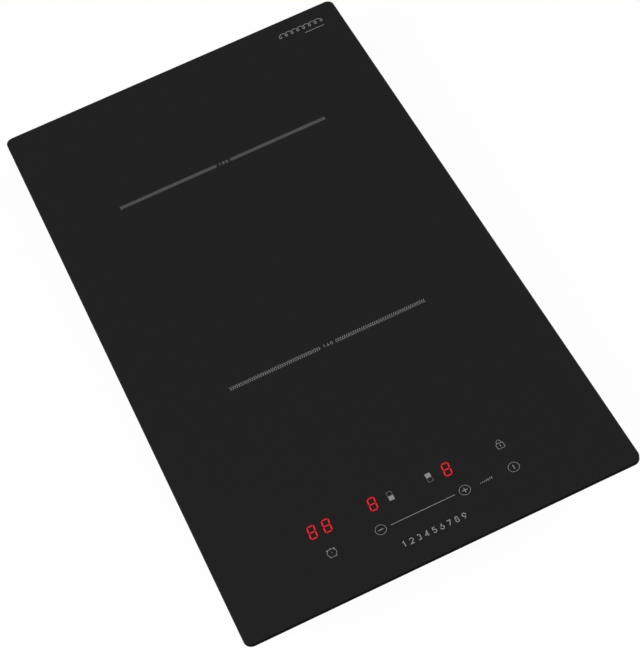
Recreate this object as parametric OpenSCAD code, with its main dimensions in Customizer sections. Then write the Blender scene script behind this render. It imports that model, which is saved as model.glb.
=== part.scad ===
// Two-zone built-in induction cooktop: a black glass-ceramic plate over a folded
// steel tray that drops into a worktop cut-out. All lengths are in millimetres.
// +Z is up, +Y points to the back of the worktop and the user stands at -Y.
// The origin is on the underside of the tray, below the middle of the glass.

/* [Glass] */
// Width of the glass plate, left to right
glass_w = 290; // [288:1:300]
// Depth of the glass plate, front to back
glass_d = 520; // [516:1:530]
// Thickness of the glass plate
glass_t = 4; // [4:0.5:6]
// Radius of the glass plate's four corners
glass_corner_r = 6; // [4:0.5:10]
// Width of the ground bevel round the top edge
glass_bevel = 0.8; // [0.4:0.1:1.2]

/* [Seal] */
// Width of the foam sealing strip under the glass rim
seal_w = 7; // [5:0.5:7.5]
// Thickness of the sealing strip, compressed
seal_t = 2.5; // [1.5:0.5:4]
// Distance from the glass edge to the strip
seal_inset = 2; // [1:0.5:3]

/* [Tray] */
// Height from the tray's underside to the underside of the glass
body_h = 52; // [52:1:60]
// How far the glass stands out beyond the tray at each side
side_overhang = 21; // [20:0.5:21]
// How far the glass stands out beyond the tray at the front and the rear
end_overhang = 17; // [15:0.5:17]
// Thickness of the tray's steel sheet
sheet_t = 1; // [0.8:0.1:1.2]
// Outside radius of the tray's upright corners
tray_corner_r = 5; // [4:0.5:8]
// How far the sloped front sets the tray's base back
slope_run = 17; // [12:1:20]
// Height of the sloped front
slope_rise = 28; // [24:1:32]
// Width of one air slot
vent_w = 3; // [2:0.5:3.5]
// Length of one air slot
vent_l = 16; // [10:1:18]
// Distance between neighbouring air slots
vent_pitch = 7; // [6:0.5:9]
// Number of air slots in the sloped front
front_vents = 20; // [8:1:24]
// Number of air slots in each side wall
side_vents = 13; // [6:1:14]
// Number of air slots in the rear wall
rear_vents = 14; // [6:1:15]
// Width of the stiffening beads pressed into the base
bead_w = 8; // [6:1:12]
// Height of the stiffening beads
bead_h = 1.2; // [0.8:0.1:1.6]

/* [Glass frame] */
// Width of the frame's flange that is glued to the glass
frame_flange = 12; // [8:1:14]
// Depth of the frame's lip inside the tray walls
frame_lip = 11; // [9:1:12]
// Thickness of the frame's sheet
frame_t = 1; // [0.8:0.1:1.2]

/* [Zones] */
// Diameter of the front cooking zone
front_zone_d = 160; // [145:5:165]
// Diameter of the rear cooking zone
rear_zone_d = 180; // [170:5:185]
// Distance from the rear zone's edge to the rear edge of the glass
rear_margin = 30; // [28:1:34]
// Distance from the glass centre forward to the front zone's centre
front_zone_y = 64; // [60:1:66]
// How much smaller than its zone a coil is, on the diameter
coil_undersize = 14; // [10:1:20]
// Diameter of the stranded winding wire
litz_d = 3.2; // [2.6:0.1:3.6]
// Gap between turns of a coil
litz_gap = 0.3; // [0.2:0.05:0.6]
// Radius of the empty middle of a coil
coil_eye_r = 22; // [20:1:26]
// Thickness of the mica sheet against the glass
mica_t = 0.8; // [0.5:0.1:1]
// Thickness of the ceramic felt over a coil
felt_t = 2.4; // [2:0.1:3]
// Thickness of the coil former's plate
former_t = 2.5; // [2:0.1:3]
// Thickness of the ferrite bars
ferrite_t = 4; // [3:0.5:4.5]
// Width of a ferrite bar
ferrite_w = 12; // [8:1:14]
// Number of ferrite bars under each coil
ferrite_count = 8; // [6:1:8]
// Thickness of the aluminium deck that carries the coils
deck_t = 1.2; // [1:0.1:1.5]

/* [Controls] */
// Distance from the front edge of the glass to the row of displays
display_row = 57.7; // [56:0.1:60]
// Distance from the front edge of the glass to the row of touch keys
key_row = 36.8; // [36:0.1:39]
// Width of one display digit's body
digit_body_w = 10.6; // [9:0.1:10.8]
// Depth of a display's body
digit_body_d = 17; // [15:0.5:18]
// Height of a display's body
digit_body_h = 6.5; // [5.5:0.5:7]
// Height of a digit
digit_h = 11.3; // [9:0.1:12.5]
// Width of a digit
digit_w = 6.1; // [5:0.1:7.4]
// Width of a display segment
segment_w = 1.3; // [0.8:0.1:1.4]
// Diameter of a touch key's spring
touch_spring_d = 6; // [4:0.5:7]

/* [Fan] */
// Distance of the fan's axis from the tray's right wall
fan_side = 78; // [74:1:80]
// Distance of the fan's axis from the tray's rear wall
fan_rear = 77; // [75:1:81]
// Radius of the impeller over its blade tips
impeller_r = 36; // [32:1:37]
// Height of the impeller
impeller_h = 16; // [12:1:17]
// Number of impeller blades
blade_count = 29; // [17:2:35]
// Thickness of a blade
blade_t = 0.9; // [0.7:0.1:1.1]
// Radius of the fan shaft
shaft_r = 1.5; // [1.2:0.1:2]
// Radial running clearance of the shaft in its bearing
shaft_gap = 0.04; // [0.02:0.01:0.08]

/* [Electronics] */
// Distance of the power board's edges from the tray's side walls
board_side = 24; // [22:0.5:29]
// Depth of the power board
board_d = 186; // [184:1:190]
// Thickness of the circuit boards
board_t = 1.6; // [1.2:0.1:2]
// Height of the power board's standoffs
standoff_h = 6; // [5:0.5:7]
// Distance of the heat sink's fins from the coil deck above them
fin_gap = 4.1; // [3.1:0.5:9.1]
// Number of heat sink fins
fin_count = 9; // [6:1:10]
// Thickness of a heat sink fin
fin_t = 1.4; // [1:0.1:1.8]

/* [Mains inlet] */
// Radius of the grommet's bore, for the mains cable
cable_bore_r = 5; // [4:0.1:5.5]
// Width of the window that the inlet plate closes
inlet_w = 44; // [36:1:46]
// Height of the window that the inlet plate closes
inlet_h = 28; // [26:1:28]
// Distance of the mains inlet from the tray's left wall
inlet_side = 39; // [34:1:44]
// Height of the mains inlet above the base
inlet_z = 20; // [19:1:24]

/* [Clamps] */
// Distance of the clamps from the tray's front and rear walls
clamp_end = 78; // [68:1:93]
// Radius of a clamp screw's thread
clamp_screw_r = 2; // [1.6:0.1:2.2]
// Length of a clamp screw under its head
clamp_screw_l = 30; // [28:0.5:31]
// Width of a clamp arm
clamp_w = 8; // [7:0.1:8]
// Reach of a clamp arm from its screw
clamp_reach = 32; // [26:1:38]
// Thickness of a clamp arm
clamp_t = 3; // [2:0.5:3.5]
// Height through which the screws pull the clamp arms up
clamp_lift = 17.5; // [14:0.7:17.5]
// Angle through which a clamp arm swings out
clamp_swing = 90; // [60:5:90]

/* [Pose] */
// How far the clamp arms are swung out, as a share of their swing
show_swing = 0; // [0:0.1:1]
// How far the clamps are raised, as a share of their lift
show_lift = 0; // [0:0.1:1]

/* [Hidden] */
$fn = 48;
eps = 0.01;
// Working clearance between parts that sit inside one another
fit = 0.3;
// Radial clearance of the small pieces that turn or slide on each other
turn_gap = 0.05;

// ---- Places that follow the glass and the tray ----
tray_w = glass_w - 2 * side_overhang;
tray_d = glass_d - 2 * end_overhang;
rear_zone_y = glass_d / 2 - rear_margin - rear_zone_d / 2;
display_row_y = glass_d / 2 - display_row;
key_row_y = glass_d / 2 - key_row;
fan_x = tray_w / 2 - fan_side;
fan_y = tray_d / 2 - fan_rear;
board_w = tray_w - 2 * board_side;
inlet_x = tray_w / 2 - inlet_side;
clamp_y = tray_d / 2 - clamp_end;

// ---- Levels, from the glass down ----
glass_z = body_h;
mica_z = glass_z - mica_t;
felt_z = mica_z - felt_t;
coil_z = felt_z - litz_d;
former_z = coil_z - former_t;
ferrite_z = former_z - ferrite_t;
deck_z = ferrite_z - 0.5;
deck_bottom = deck_z - deck_t;

// ---- Levels, from the base up ----
board_z = sheet_t + standoff_h;
board_top = board_z + board_t;

// ---- Tray and frame ----
tray_top = glass_z - fit;
// A face moved inwards by d along its normal shifts this far along Y on the slope
function slope_shift(d) = d * sqrt(slope_run * slope_run + slope_rise * slope_rise) / slope_rise;
slope_angle = atan(slope_rise / slope_run);
frame_w = tray_w - 2 * sheet_t - 2 * fit;
frame_d = tray_d - 2 * sheet_t - 2 * fit;
frame_r = tray_corner_r - sheet_t;
tray_screw_z = glass_z - 6;
tray_screw_r = 1.5;
side_screw_y = tray_d / 2 - 38;
end_screw_x = 60;
base_hole_r = 1.6;
bead_l = tray_w - 98;
bead_front = 43 - tray_d / 2;
bead_pitch = 24;
vent_z = 21;
rear_vent_x = tray_w / 2 - 89;
weld_r = 1.8;
weld_h = 0.3;
inlet_plate_t = 1.6;
inlet_rim = 5;
grommet_wall = 2.9;

// ---- Zones: [Y of the centre, outer radius of the coil] ----
front_zone = [-front_zone_y, (front_zone_d - coil_undersize) / 2];
rear_zone = [rear_zone_y, (rear_zone_d - coil_undersize) / 2];
zones = [front_zone, rear_zone];
litz_pitch = litz_d + litz_gap;
// Places of a former's legs: their angles, and their distance out as a share of the coil's radius
leg_angles = [22.5, 112.5, 247.5];
leg_share = 0.72;
former_leg_r = 2;

// ---- Fan ----
grille_t = 1.5;
fan_z = sheet_t + grille_t;
fan_wall = 1.5;
impeller_z = fan_z + fan_wall + 1.5;
fan_cover_z = impeller_z + impeller_h + 2;
intake_r = impeller_r - 6;
volute_r0 = impeller_r + 3;
volute_r1 = impeller_r + 11;
duct_w = 34;
duct_l = volute_r1 + 4;
hub_r = 0.47 * impeller_r;
hub_wall = 1.5;
magnet_t = 2.2;
bearing_wall = 2;
bearing_r = shaft_r + shaft_gap + bearing_wall;
tube_r = bearing_r + 1.5;
stator_r = hub_r - hub_wall - magnet_t - 0.7;
fan_ear_angles = [75, 170, 245];

// ---- Power board ----
board_front = fan_y - duct_l - 13 - board_d;
board_middle = [0, board_front + board_d / 2];
sink_w = 46;
sink_l = board_d - 54;
sink_plate = 3.5;
sink_x = fan_x + volute_r1 - duct_w / 2;
sink_front = board_front + 50;
package_t = 4.2;
fin_h = deck_bottom - fin_gap - board_top - package_t - sink_plate;
// Place above the board: u is a share of its width from the middle, y the distance from its
// front edge, or from its rear edge where that is less than 0
function on_board(u, y) = [u * board_w, board_front + y + (y < 0 ? board_d : 0)];
function over_board(u, y, z) = concat(on_board(u, y), z);

// ---- Mains ----
poles = 3;
pole_pitch = 13;
terminal_y = tray_d / 2 - 43;
wire_hole_z = sheet_t + 9;
function pole_x(i) = -inlet_x + (i - (poles - 1) / 2) * pole_pitch;
lug_h = 4;

// ---- Controls ----
control_board_w = 170;
control_board_d = 44;
control_y = -(display_row_y + key_row_y) / 2;
control_z = glass_z - digit_body_h - board_t - 0.2;
control_top = control_z + board_t;
holder_wall = 1.5;
holder_floor = control_z - 0.8 - holder_wall;
holder_w = control_board_w + 2 * (holder_wall + fit);
holder_d = control_board_d + 2 * (holder_wall + fit);
holder_h = glass_z - frame_t - 0.5 - holder_floor;
digit_pitch = 10.8;
digit_lean = 5;
timer_x = -67.1;
front_digit_x = -27.8;
rear_digit_x = 27.8;
zone_icon_x = 14.5;
key_x = [timer_x, -31, 31, 46.8, 67.6];
slider_l = 48;
slider_pads = 5;
lock_x = 67.6;
ribbon_x = -46;
ribbon_drop_y = control_y + holder_d / 2 + 7;

// ---- Clamps ----
bracket_t = 1;
clamp_x = tray_w / 2 + bracket_t + 0.5 + clamp_w / 2;
clamp_head_h = 2.4;
clamp_seat_z = clamp_head_h + 0.2;
washer_t = 0.8;
washer_z = clamp_seat_z + turn_gap;
arm_z = washer_z + washer_t + turn_gap;
tooth_h = 0.9;
lug_z = arm_z + clamp_t + tooth_h + clamp_lift + 1;
weld_nut_h = 3.2;
weld_nut_r = 4;

// ================= Shared shapes =================

// Rectangle centred on the origin with round corners
module rounded_rect(w, d, r) {
    square([w - 2 * r, d], center = true);
    square([w, d - 2 * r], center = true);
    for (x = [-1, 1], y = [-1, 1])
        translate([x * (w / 2 - r), y * (d / 2 - r)]) circle(r);
}

// Straight slot with round ends, along Y
module slot(l, w) {
    square([w, l - w], center = true);
    for (y = [-1, 1]) translate([0, y * (l - w) / 2]) circle(w / 2, $fn = 24);
}

// Row of slots along X
module slot_row(count, pitch, l, w) {
    for (i = [0 : count - 1]) translate([(i - (count - 1) / 2) * pitch, 0]) slot(l, w);
}

module ring(outer_r, inner_r, h) {
    difference() {
        cylinder(r = outer_r, h = h);
        translate([0, 0, -1]) cylinder(r = inner_r, h = h + 2);
    }
}

// Pan-head screw standing on its point: the head's seat is at z = 0, the shank below it
module pan_screw(r, l, head_r, head_h) {
    difference() {
        union() {
            translate([0, 0, -l]) cylinder(r = r, h = l + eps, $fn = 24);
            cylinder(r1 = head_r, r2 = head_r * 0.8, h = head_h, $fn = 32);
        }
        for (a = [0, 90]) rotate(a)
            translate([-head_r * 0.5, -0.35, head_h * 0.45]) cube([head_r, 0.7, head_h]);
    }
}

function unit(v) = v / norm(v);
// The normal n carried on to the next tangent, so that the tube doesn't twist
function carried(n, t) = unit(n - (n * t) * t);
function tangent(p, i) = unit(p[min(i + 1, len(p) - 1)] - p[max(i - 1, 0)]);
function normals(p, i = 0, n = [], last = [0.31, 0.17, 0.93]) =
    i == len(p) ? n
    : let (next = carried(last, tangent(p, i))) normals(p, i + 1, concat(n, [next]), next);

// Round tube swept along a list of points
module tube_along(p, r, sides = 8) {
    n = normals(p);
    rings = [for (i = [0 : len(p) - 1]) let (t = tangent(p, i), b = cross(t, n[i]))
        for (k = [0 : sides - 1], turn = 360 * k / sides) p[i] + r * (cos(turn) * n[i] + sin(turn) * b)];
    last = len(p) - 1;
    polyhedron(
        points = rings,
        faces = concat(
            [[for (k = [0 : sides - 1]) k]],
            [for (i = [0 : last - 1], k = [0 : sides - 1], half = [0, 1])
                let (a = i * sides + k, b = i * sides + (k + 1) % sides)
                    half == 0 ? [a, a + sides, b + sides] : [a, b + sides, b]],
            [[for (k = [sides - 1 : -1 : 0]) last * sides + k]]
        )
    );
}

// Point at t, from 0 to 1, of the smooth stretch from b to c whose neighbours are a and d
function between(a, b, c, d, t) =
    b + (c - a) * t / 2 + (2 * a - 5 * b + 4 * c - d) * t * t / 2 + (3 * b - a - 3 * c + d) * t * t * t / 2;

// Points of a smooth curve through p, with steps points to each stretch
function spline(p, steps) = concat(
    [for (i = [0 : len(p) - 2], s = [0 : steps - 1])
        between(p[max(i - 1, 0)], p[i], p[i + 1], p[min(i + 2, len(p) - 1)], s / steps)],
    [p[len(p) - 1]]
);

// Height along a spring, from 0 to 1: each end has one closed turn that lies flat
function spring_rise(s, turns, closed) =
    let (t = s * turns, open = 1 - 2 * closed)
        t < 1 ? closed * t : t > turns - 1 ? 1 - closed * (turns - t) : closed + open * (t - 1) / (turns - 2);

// Compression spring standing on z = 0, whose radius may change from foot to head
module spring(r_foot, r_head, h, wire_r, turns, per_turn = 10, sides = 5) {
    last = turns * per_turn;
    rise = h - 2 * wire_r;
    closed = 2.2 * wire_r / rise;
    tube_along([
        for (i = [0 : last])
            let (s = i / last, r = r_foot + (r_head - r_foot) * s, turn = 360 * i / per_turn)
                [r * cos(turn), r * sin(turn), wire_r + rise * spring_rise(s, turns, closed)]
    ], wire_r, sides);
}

// ================= Glass and frame =================

// Plate whose top edge is ground to a bevel, round the corners too
module glass_top() {
    b = glass_bevel;
    r = glass_corner_r;
    color([0.02, 0.02, 0.02]) translate([0, 0, glass_z]) difference() {
        linear_extrude(glass_t) rounded_rect(glass_w, glass_d, r);
        for (side = [[glass_w, glass_d, 0], [glass_d, glass_w, 90]], s = [0, 180])
            rotate(side[2] + s) translate([side[0] / 2, side[1] / 2 - r, glass_t]) rotate([90, 0, 0])
                linear_extrude(side[1] - 2 * r) polygon([[-b, 0], [0, -b], [1, -b], [1, 1], [-b, 1]]);
        for (x = [0, 1], y = [0, 1]) mirror([x, 0, 0]) mirror([0, y, 0])
            translate([glass_w / 2 - r, glass_d / 2 - r, glass_t - b]) difference() {
                cube([r + 1, r + 1, b + 1]);
                cylinder(r1 = r, r2 = r - b - 1, h = b + 1);
            }
    }
}

module edge_seal() {
    w = glass_w - 2 * seal_inset;
    d = glass_d - 2 * seal_inset;
    r = glass_corner_r - seal_inset;
    color([0.16, 0.16, 0.17]) translate([0, 0, glass_z - seal_t]) linear_extrude(seal_t) difference() {
        rounded_rect(w, d, r);
        square([w - 2 * seal_w, d - 2 * seal_w], center = true);
    }
}

// Steel angle glued under the glass; the tray's screws pull the tray up against it
module glass_frame() {
    color([0.62, 0.63, 0.64]) difference() {
        union() {
            translate([0, 0, glass_z - frame_t]) linear_extrude(frame_t) difference() {
                rounded_rect(frame_w, frame_d, frame_r);
                square([frame_w - 2 * frame_flange, frame_d - 2 * frame_flange], center = true);
            }
            translate([0, 0, glass_z - frame_lip]) linear_extrude(frame_lip) difference() {
                rounded_rect(frame_w, frame_d, frame_r);
                rounded_rect(frame_w - 2 * frame_t, frame_d - 2 * frame_t, frame_r - frame_t);
            }
        }
        at_tray_screws() translate([0, 0, -8]) cylinder(r = tray_screw_r + turn_gap, h = 9, $fn = 24);
    }
}

// Places of the tray's side screws: Z points out of the wall
module at_tray_screws() {
    for (s = [-1, 1], y = [-1, 0, 1])
        translate([s * tray_w / 2, y * side_screw_y, tray_screw_z]) rotate([0, s * 90, 0]) children();
    for (s = [-1, 1], x = [-1, 1])
        translate([x * end_screw_x, s * tray_d / 2, tray_screw_z]) rotate([-s * 90, 0, 0]) children();
}

module tray_screws() {
    color([0.7, 0.7, 0.7]) at_tray_screws() pan_screw(tray_screw_r, 5, 3, 2);
}

// ================= Tray =================

// The tray's filled shape, moved inwards by d on every side but the top
module tray_block(d, top) {
    y0 = -tray_d / 2;
    lean = slope_run / slope_rise;
    shift = slope_run + slope_shift(d);
    intersection() {
        translate([0, 0, d]) linear_extrude(top - d)
            rounded_rect(tray_w - 2 * d, tray_d - 2 * d, tray_corner_r - d);
        rotate([90, 0, 90]) translate([0, 0, -tray_w / 2]) linear_extrude(tray_w) polygon([
            [y0 + d, top], [y0 + d, (shift - d) / lean], [y0 + shift - lean * d, d],
            [-y0 - d, d], [-y0 - d, top]
        ]);
    }
}

// The stiffening beads across the front of the base, as flat slots at a stated height
module base_beads(z, h, grow) {
    for (i = [0 : 3]) translate([0, bead_front + i * bead_pitch, z])
        linear_extrude(h) rotate(90) slot(bead_l + grow, bead_w + grow);
}

module air_slots() {
    // side walls
    for (s = [-1, 1]) translate([s * tray_w / 2, board_front + 12, vent_z]) rotate([0, s * 90, 0])
        translate([0, 0, -5]) linear_extrude(10) rotate(90) slot_row(side_vents, vent_pitch, vent_l, vent_w);
    // rear wall, right of the mains inlet
    translate([rear_vent_x, tray_d / 2, vent_z]) rotate([90, 0, 0])
        translate([0, 0, -5]) linear_extrude(10) slot_row(rear_vents, vent_pitch, vent_l, vent_w);
    // sloped front
    translate([0, -tray_d / 2 + slope_run / 2, slope_rise / 2]) rotate([180 - slope_angle, 0, 0])
        translate([0, 0, -5]) linear_extrude(10) slot_row(front_vents, vent_pitch, vent_l, vent_w);
}

// Spot welds that close the upright corners, seen as low buttons on the end walls
module corner_welds() {
    for (s = [-1, 1], x = [-1, 1], z = [slope_rise + 4, slope_rise + 14])
        translate([x * (tray_w / 2 - 10), s * (tray_d / 2 - eps), z]) rotate([-s * 90, 0, 0])
            cylinder(r1 = weld_r, r2 = weld_r - weld_h, h = weld_h, $fn = 24);
}

module tray() {
    color([0.7, 0.71, 0.72]) difference() {
        union() {
            difference() {
                tray_block(0, tray_top);
                tray_block(sheet_t, tray_top + 1);
            }
            base_beads(sheet_t - eps, bead_h, 2 * sheet_t);
            corner_welds();
        }
        base_beads(-1, 1 + bead_h, 0);
        air_slots();
        translate([fan_x, fan_y, -1]) cylinder(r = intake_r + 4, h = sheet_t + 2);
        at_inlet() translate([0, 0, -sheet_t - 1]) linear_extrude(sheet_t + 2)
            square([inlet_w, inlet_h], center = true);
        at_tray_screws() translate([0, 0, -3]) cylinder(r = tray_screw_r + 0.2, h = 4, $fn = 24);
        at_base_holes() translate([0, 0, -1]) cylinder(r = base_hole_r, h = sheet_t + 2, $fn = 24);
    }
}

module at_base_holes() {
    at_posts() children();
    at_standoffs() children();
    at_fan_ears() children();
}

// Finger guard over the fan's air intake, resting on the base from inside
module fan_grille() {
    rim = intake_r + 4 - fit;
    color([0.12, 0.12, 0.13]) translate([fan_x, fan_y, 0]) {
        translate([0, 0, sheet_t]) linear_extrude(grille_t) difference() {
            circle(intake_r + 9);
            circle(intake_r);
        }
        translate([0, 0, fit]) linear_extrude(sheet_t + grille_t - fit) {
            difference() { circle(rim); circle(rim - 2.2); }
            for (r = [8 : 5.4 : intake_r - 3]) difference() { circle(r + 0.8); circle(r - 0.8); }
            circle(3.5);
            for (a = [0 : 45 : 315]) rotate(a) translate([2, -0.9]) square([rim - 3, 1.8]);
        }
    }
}

// Place of the mains inlet: Z points out of the rear wall
module at_inlet() {
    translate([-inlet_x, tray_d / 2, inlet_z]) rotate([-90, 0, 0]) children();
}

// Plastic plate that closes the window in the rear wall and carries the grommet
module inlet_plate() {
    rim_w = inlet_w - 2 * fit;
    rim_h = inlet_h - 2 * fit;
    clip_w = 8;
    color([0.12, 0.12, 0.13]) at_inlet() difference() {
        union() {
            linear_extrude(inlet_plate_t) rounded_rect(inlet_w + 8, inlet_h + 6, 3);
            translate([0, 0, -inlet_rim]) linear_extrude(inlet_rim + eps) difference() {
                square([rim_w, rim_h], center = true);
                square([rim_w - 2 * inlet_plate_t, rim_h - 2 * inlet_plate_t], center = true);
            }
            // clips that catch behind the sheet
            for (x = [-1, 1]) translate([x * (rim_w / 2 - eps), clip_w / 2, 0]) rotate([90, 0, 0])
                linear_extrude(clip_w) polygon([
                    [0, -sheet_t - 0.1], [x * 1.2, -sheet_t - 0.1], [0, -inlet_rim]
                ]);
        }
        translate([0, 0, -inlet_rim - 1])
            cylinder(r = cable_bore_r + grommet_wall + fit / 3, h = inlet_rim + 5);
    }
}

// Rubber bush in the inlet plate that the mains cable enters through
module cable_grommet() {
    out = 3.5;
    in = 3;
    groove_r = cable_bore_r + grommet_wall;
    color([0.06, 0.06, 0.06]) at_inlet() difference() {
        union() {
            translate([0, 0, inlet_plate_t]) cylinder(r1 = groove_r + 3, r2 = groove_r + 1.2, h = out);
            translate([0, 0, -in]) cylinder(r = groove_r + 2, h = in);
            translate([0, 0, -in]) cylinder(r = groove_r, h = in + inlet_plate_t + eps);
        }
        translate([0, 0, -in - 1]) cylinder(r = cable_bore_r, h = in + inlet_plate_t + out + 2);
    }
}

// ================= Coil deck =================

post_x = tray_w / 2 - 12;
post_ys = [31 - tray_d / 2, board_front - 16, board_front + 0.645 * board_d, tray_d / 2 - 17];

module at_posts() {
    for (x = [-1, 1], y = post_ys) translate([x * post_x, y, 0]) children();
}

// Hexagonal posts, pressed into the base by a spigot and tapped at the top
module deck_posts() {
    h = deck_bottom - sheet_t;
    color([0.75, 0.75, 0.76]) at_posts() translate([0, 0, sheet_t]) difference() {
        union() {
            cylinder(r = 4.6, h = h, $fn = 6);
            translate([0, 0, 0.1 - sheet_t]) cylinder(r = base_hole_r - turn_gap, h = sheet_t, $fn = 24);
        }
        translate([0, 0, h - 9]) cylinder(r = 1.5 + turn_gap, h = 10, $fn = 24);
    }
}

// Places of the legs that locate a coil former in the deck
module at_former_legs(zone) {
    for (a = leg_angles)
        translate([0, zone[0], 0]) rotate(a) translate([zone[1] * leg_share, 0, 0]) children();
}

module coil_deck() {
    w = tray_w - 2 * sheet_t - 3;
    d = tray_d - 2 * sheet_t - 6;
    color([0.8, 0.81, 0.82]) difference() {
        translate([0, 0, deck_bottom]) linear_extrude(deck_t) difference() {
            rounded_rect(w, d, 4);
            for (zone = zones) translate([0, zone[0]]) circle(15);
            for (zone = zones, s = [-1, 1]) translate([s * (zone[1] + 9), zone[0] - 30]) slot(24, 9);
            translate([ribbon_x, ribbon_drop_y]) rotate(90) slot(18, 7);
        }
        for (zone = zones) at_former_legs(zone)
            translate([0, 0, deck_bottom - 1]) cylinder(r = former_leg_r + 0.4, h = deck_t + 2, $fn = 24);
        at_posts() translate([0, 0, deck_bottom - 1]) cylinder(r = 1.7, h = deck_t + 2, $fn = 24);
    }
}

// M3 screws that hold the deck, the power board and the fan
module inner_screws() {
    color([0.72, 0.72, 0.73]) {
        at_posts() translate([0, 0, deck_z]) pan_screw(1.5, 8, 2.8, 1.8);
        at_standoffs() translate([0, 0, board_top]) pan_screw(1.5, board_t + 4, 2.8, 1.8);
        at_fan_ears() translate([0, 0, fan_z + 2.5]) pan_screw(1.5, fan_z + 2.3, 2.8, 1.8);
    }
}

// ================= Coils =================

function zone_turns(zone) = floor((zone[1] - coil_eye_r) / litz_pitch);

// Flat winding: its turns lie side by side from the eye to the rim
module coil(zone) {
    color([0.72, 0.42, 0.22]) translate([0, zone[0], coil_z + litz_d / 2]) rotate_extrude($fn = 96)
        for (i = [0 : zone_turns(zone) - 1])
            translate([coil_eye_r + litz_d / 2 + i * litz_pitch, 0]) circle(litz_d / 2, $fn = 24);
}

module coil_front() coil(front_zone);
module coil_rear() coil(rear_zone);

// Spoked plastic plate under a coil, with pockets for the ferrites and three located legs
module coil_former(zone) {
    r = zone[1] + 3;
    color([0.85, 0.84, 0.8]) translate([0, zone[0], 0]) {
        translate([0, 0, former_z]) linear_extrude(former_t) {
            difference() { circle(r); circle(r - 7); }
            difference() { circle(coil_eye_r + 3); circle(coil_eye_r - 7); }
            for (i = [0 : ferrite_count - 1]) rotate(360 / ferrite_count * i)
                translate([coil_eye_r, -ferrite_w / 2 - 1.5]) square([r - coil_eye_r - 4, ferrite_w + 3]);
            difference() {
                circle(zone[1] * leg_share + 5);
                circle(zone[1] * leg_share - 5);
            }
        }
        for (i = [0 : ferrite_count - 1], s = [-1, 1]) rotate(360 / ferrite_count * i)
            translate([coil_eye_r + 4, s * (ferrite_w / 2 + 0.9) - 0.6, ferrite_z + 1])
                cube([zone[1] - coil_eye_r - 8, 1.2, ferrite_t - 1 + eps]);
    }
    snap = 2.2;
    color([0.85, 0.84, 0.8]) at_former_legs(zone) translate([0, 0, deck_bottom - snap]) {
        cylinder(r = former_leg_r, h = former_z - deck_bottom + snap + eps, $fn = 24);
        cylinder(r1 = former_leg_r - 0.6, r2 = former_leg_r + 1, h = snap - 0.2, $fn = 24);
    }
}

module coil_former_front() coil_former(front_zone);
module coil_former_rear() coil_former(rear_zone);

module ferrite_bars() {
    color([0.2, 0.2, 0.22]) for (zone = zones, i = [0 : ferrite_count - 1])
        translate([0, zone[0], ferrite_z]) rotate(360 / ferrite_count * i)
            translate([coil_eye_r + 2, -ferrite_w / 2, 0])
                cube([zone[1] - coil_eye_r - 4, ferrite_w, ferrite_t]);
}

module felt_pads() {
    color([0.93, 0.92, 0.88]) for (zone = zones)
        translate([0, zone[0], felt_z]) ring(zone[1] + 2, coil_eye_r - 6, felt_t);
}

module mica_sheets() {
    color([0.78, 0.74, 0.62]) for (zone = zones) translate([0, zone[0], mica_z]) ring(zone[1] + 4, 8, mica_t);
}

// Springs that press the coils and the control holder up against the glass
module support_springs() {
    color([0.75, 0.75, 0.76]) {
        for (zone = zones) at_former_legs(zone)
            translate([0, 0, deck_z]) spring(3.4, 3.4, former_z - deck_z, 0.35, 4);
        at_holder_springs() translate([0, 0, deck_z]) spring(3.4, 3.4, holder_floor - deck_z, 0.35, 4);
    }
}

// Temperature probe in a silicone cup, in the eye of each coil
module heat_sensors() {
    color([0.85, 0.85, 0.86]) for (zone = zones) translate([0, zone[0], 0]) {
        translate([0, 0, former_z]) ring(7, 3, mica_z - former_z - 2);
        translate([0, 0, former_z - 2]) cylinder(r = 2.7, h = glass_z - former_z + 2 - 0.4);
        for (a = [0 : 90 : 270]) rotate(a + 22.5) translate([6, -1, former_z])
            cube([coil_eye_r - 13.2, 2, 1.5]);
    }
}

// ================= Controls =================

module at_holder_springs() {
    for (x = [-1, 1], y = [-1, 1]) translate([x * 76, control_y + y * 14, 0]) children();
}

// Plastic carrier for the control board, pushed up by four springs
module control_holder() {
    color([0.1, 0.1, 0.11]) difference() {
        translate([0, control_y, holder_floor]) linear_extrude(holder_h) rounded_rect(holder_w, holder_d, 3);
        translate([0, control_y, holder_floor + holder_wall]) linear_extrude(holder_h)
            rounded_rect(holder_w - 2 * holder_wall, holder_d - 2 * holder_wall, 1.5);
        // relief for the parts under the board, leaving a ledge all round
        translate([0, control_y, holder_floor - 1]) linear_extrude(holder_h)
            rounded_rect(holder_w - 46, holder_d - 18, 3);
        // slot for the ribbon in the rear wall
        translate([ribbon_x - 8, control_y + holder_d / 2 - 4, control_top - 0.5]) cube([16, 8, 20]);
    }
    // pegs under the board, beside the relief
    peg_z = holder_floor + holder_wall - eps;
    color([0.1, 0.1, 0.11]) for (x = [-1, 1], y = [-1, 1])
        translate([x * (holder_w / 2 - 14), control_y + y * (holder_d / 2 - 5), peg_z])
            cylinder(r = 2, h = control_z - peg_z, $fn = 24);
}

module control_board() {
    color([0.05, 0.3, 0.16]) translate([0, control_y, control_z]) linear_extrude(board_t)
        rounded_rect(control_board_w, control_board_d, 2);
    // controller chip and ribbon header on the top side
    color([0.1, 0.1, 0.1]) translate([-8, control_y - 3, control_top - eps]) cube([16, 8, 1.5]);
    color([0.9, 0.9, 0.85])
        translate([ribbon_x - 6, control_y + control_board_d / 2 - 7, control_top - eps]) cube([12, 6, 4]);
}

// One display segment: a bar with pointed ends, along Y
module segment(l) {
    w = segment_w / 2;
    polygon([[0, l / 2], [w, l / 2 - w], [w, w - l / 2], [0, -l / 2], [-w, w - l / 2], [-w, l / 2 - w]]);
}

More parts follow.
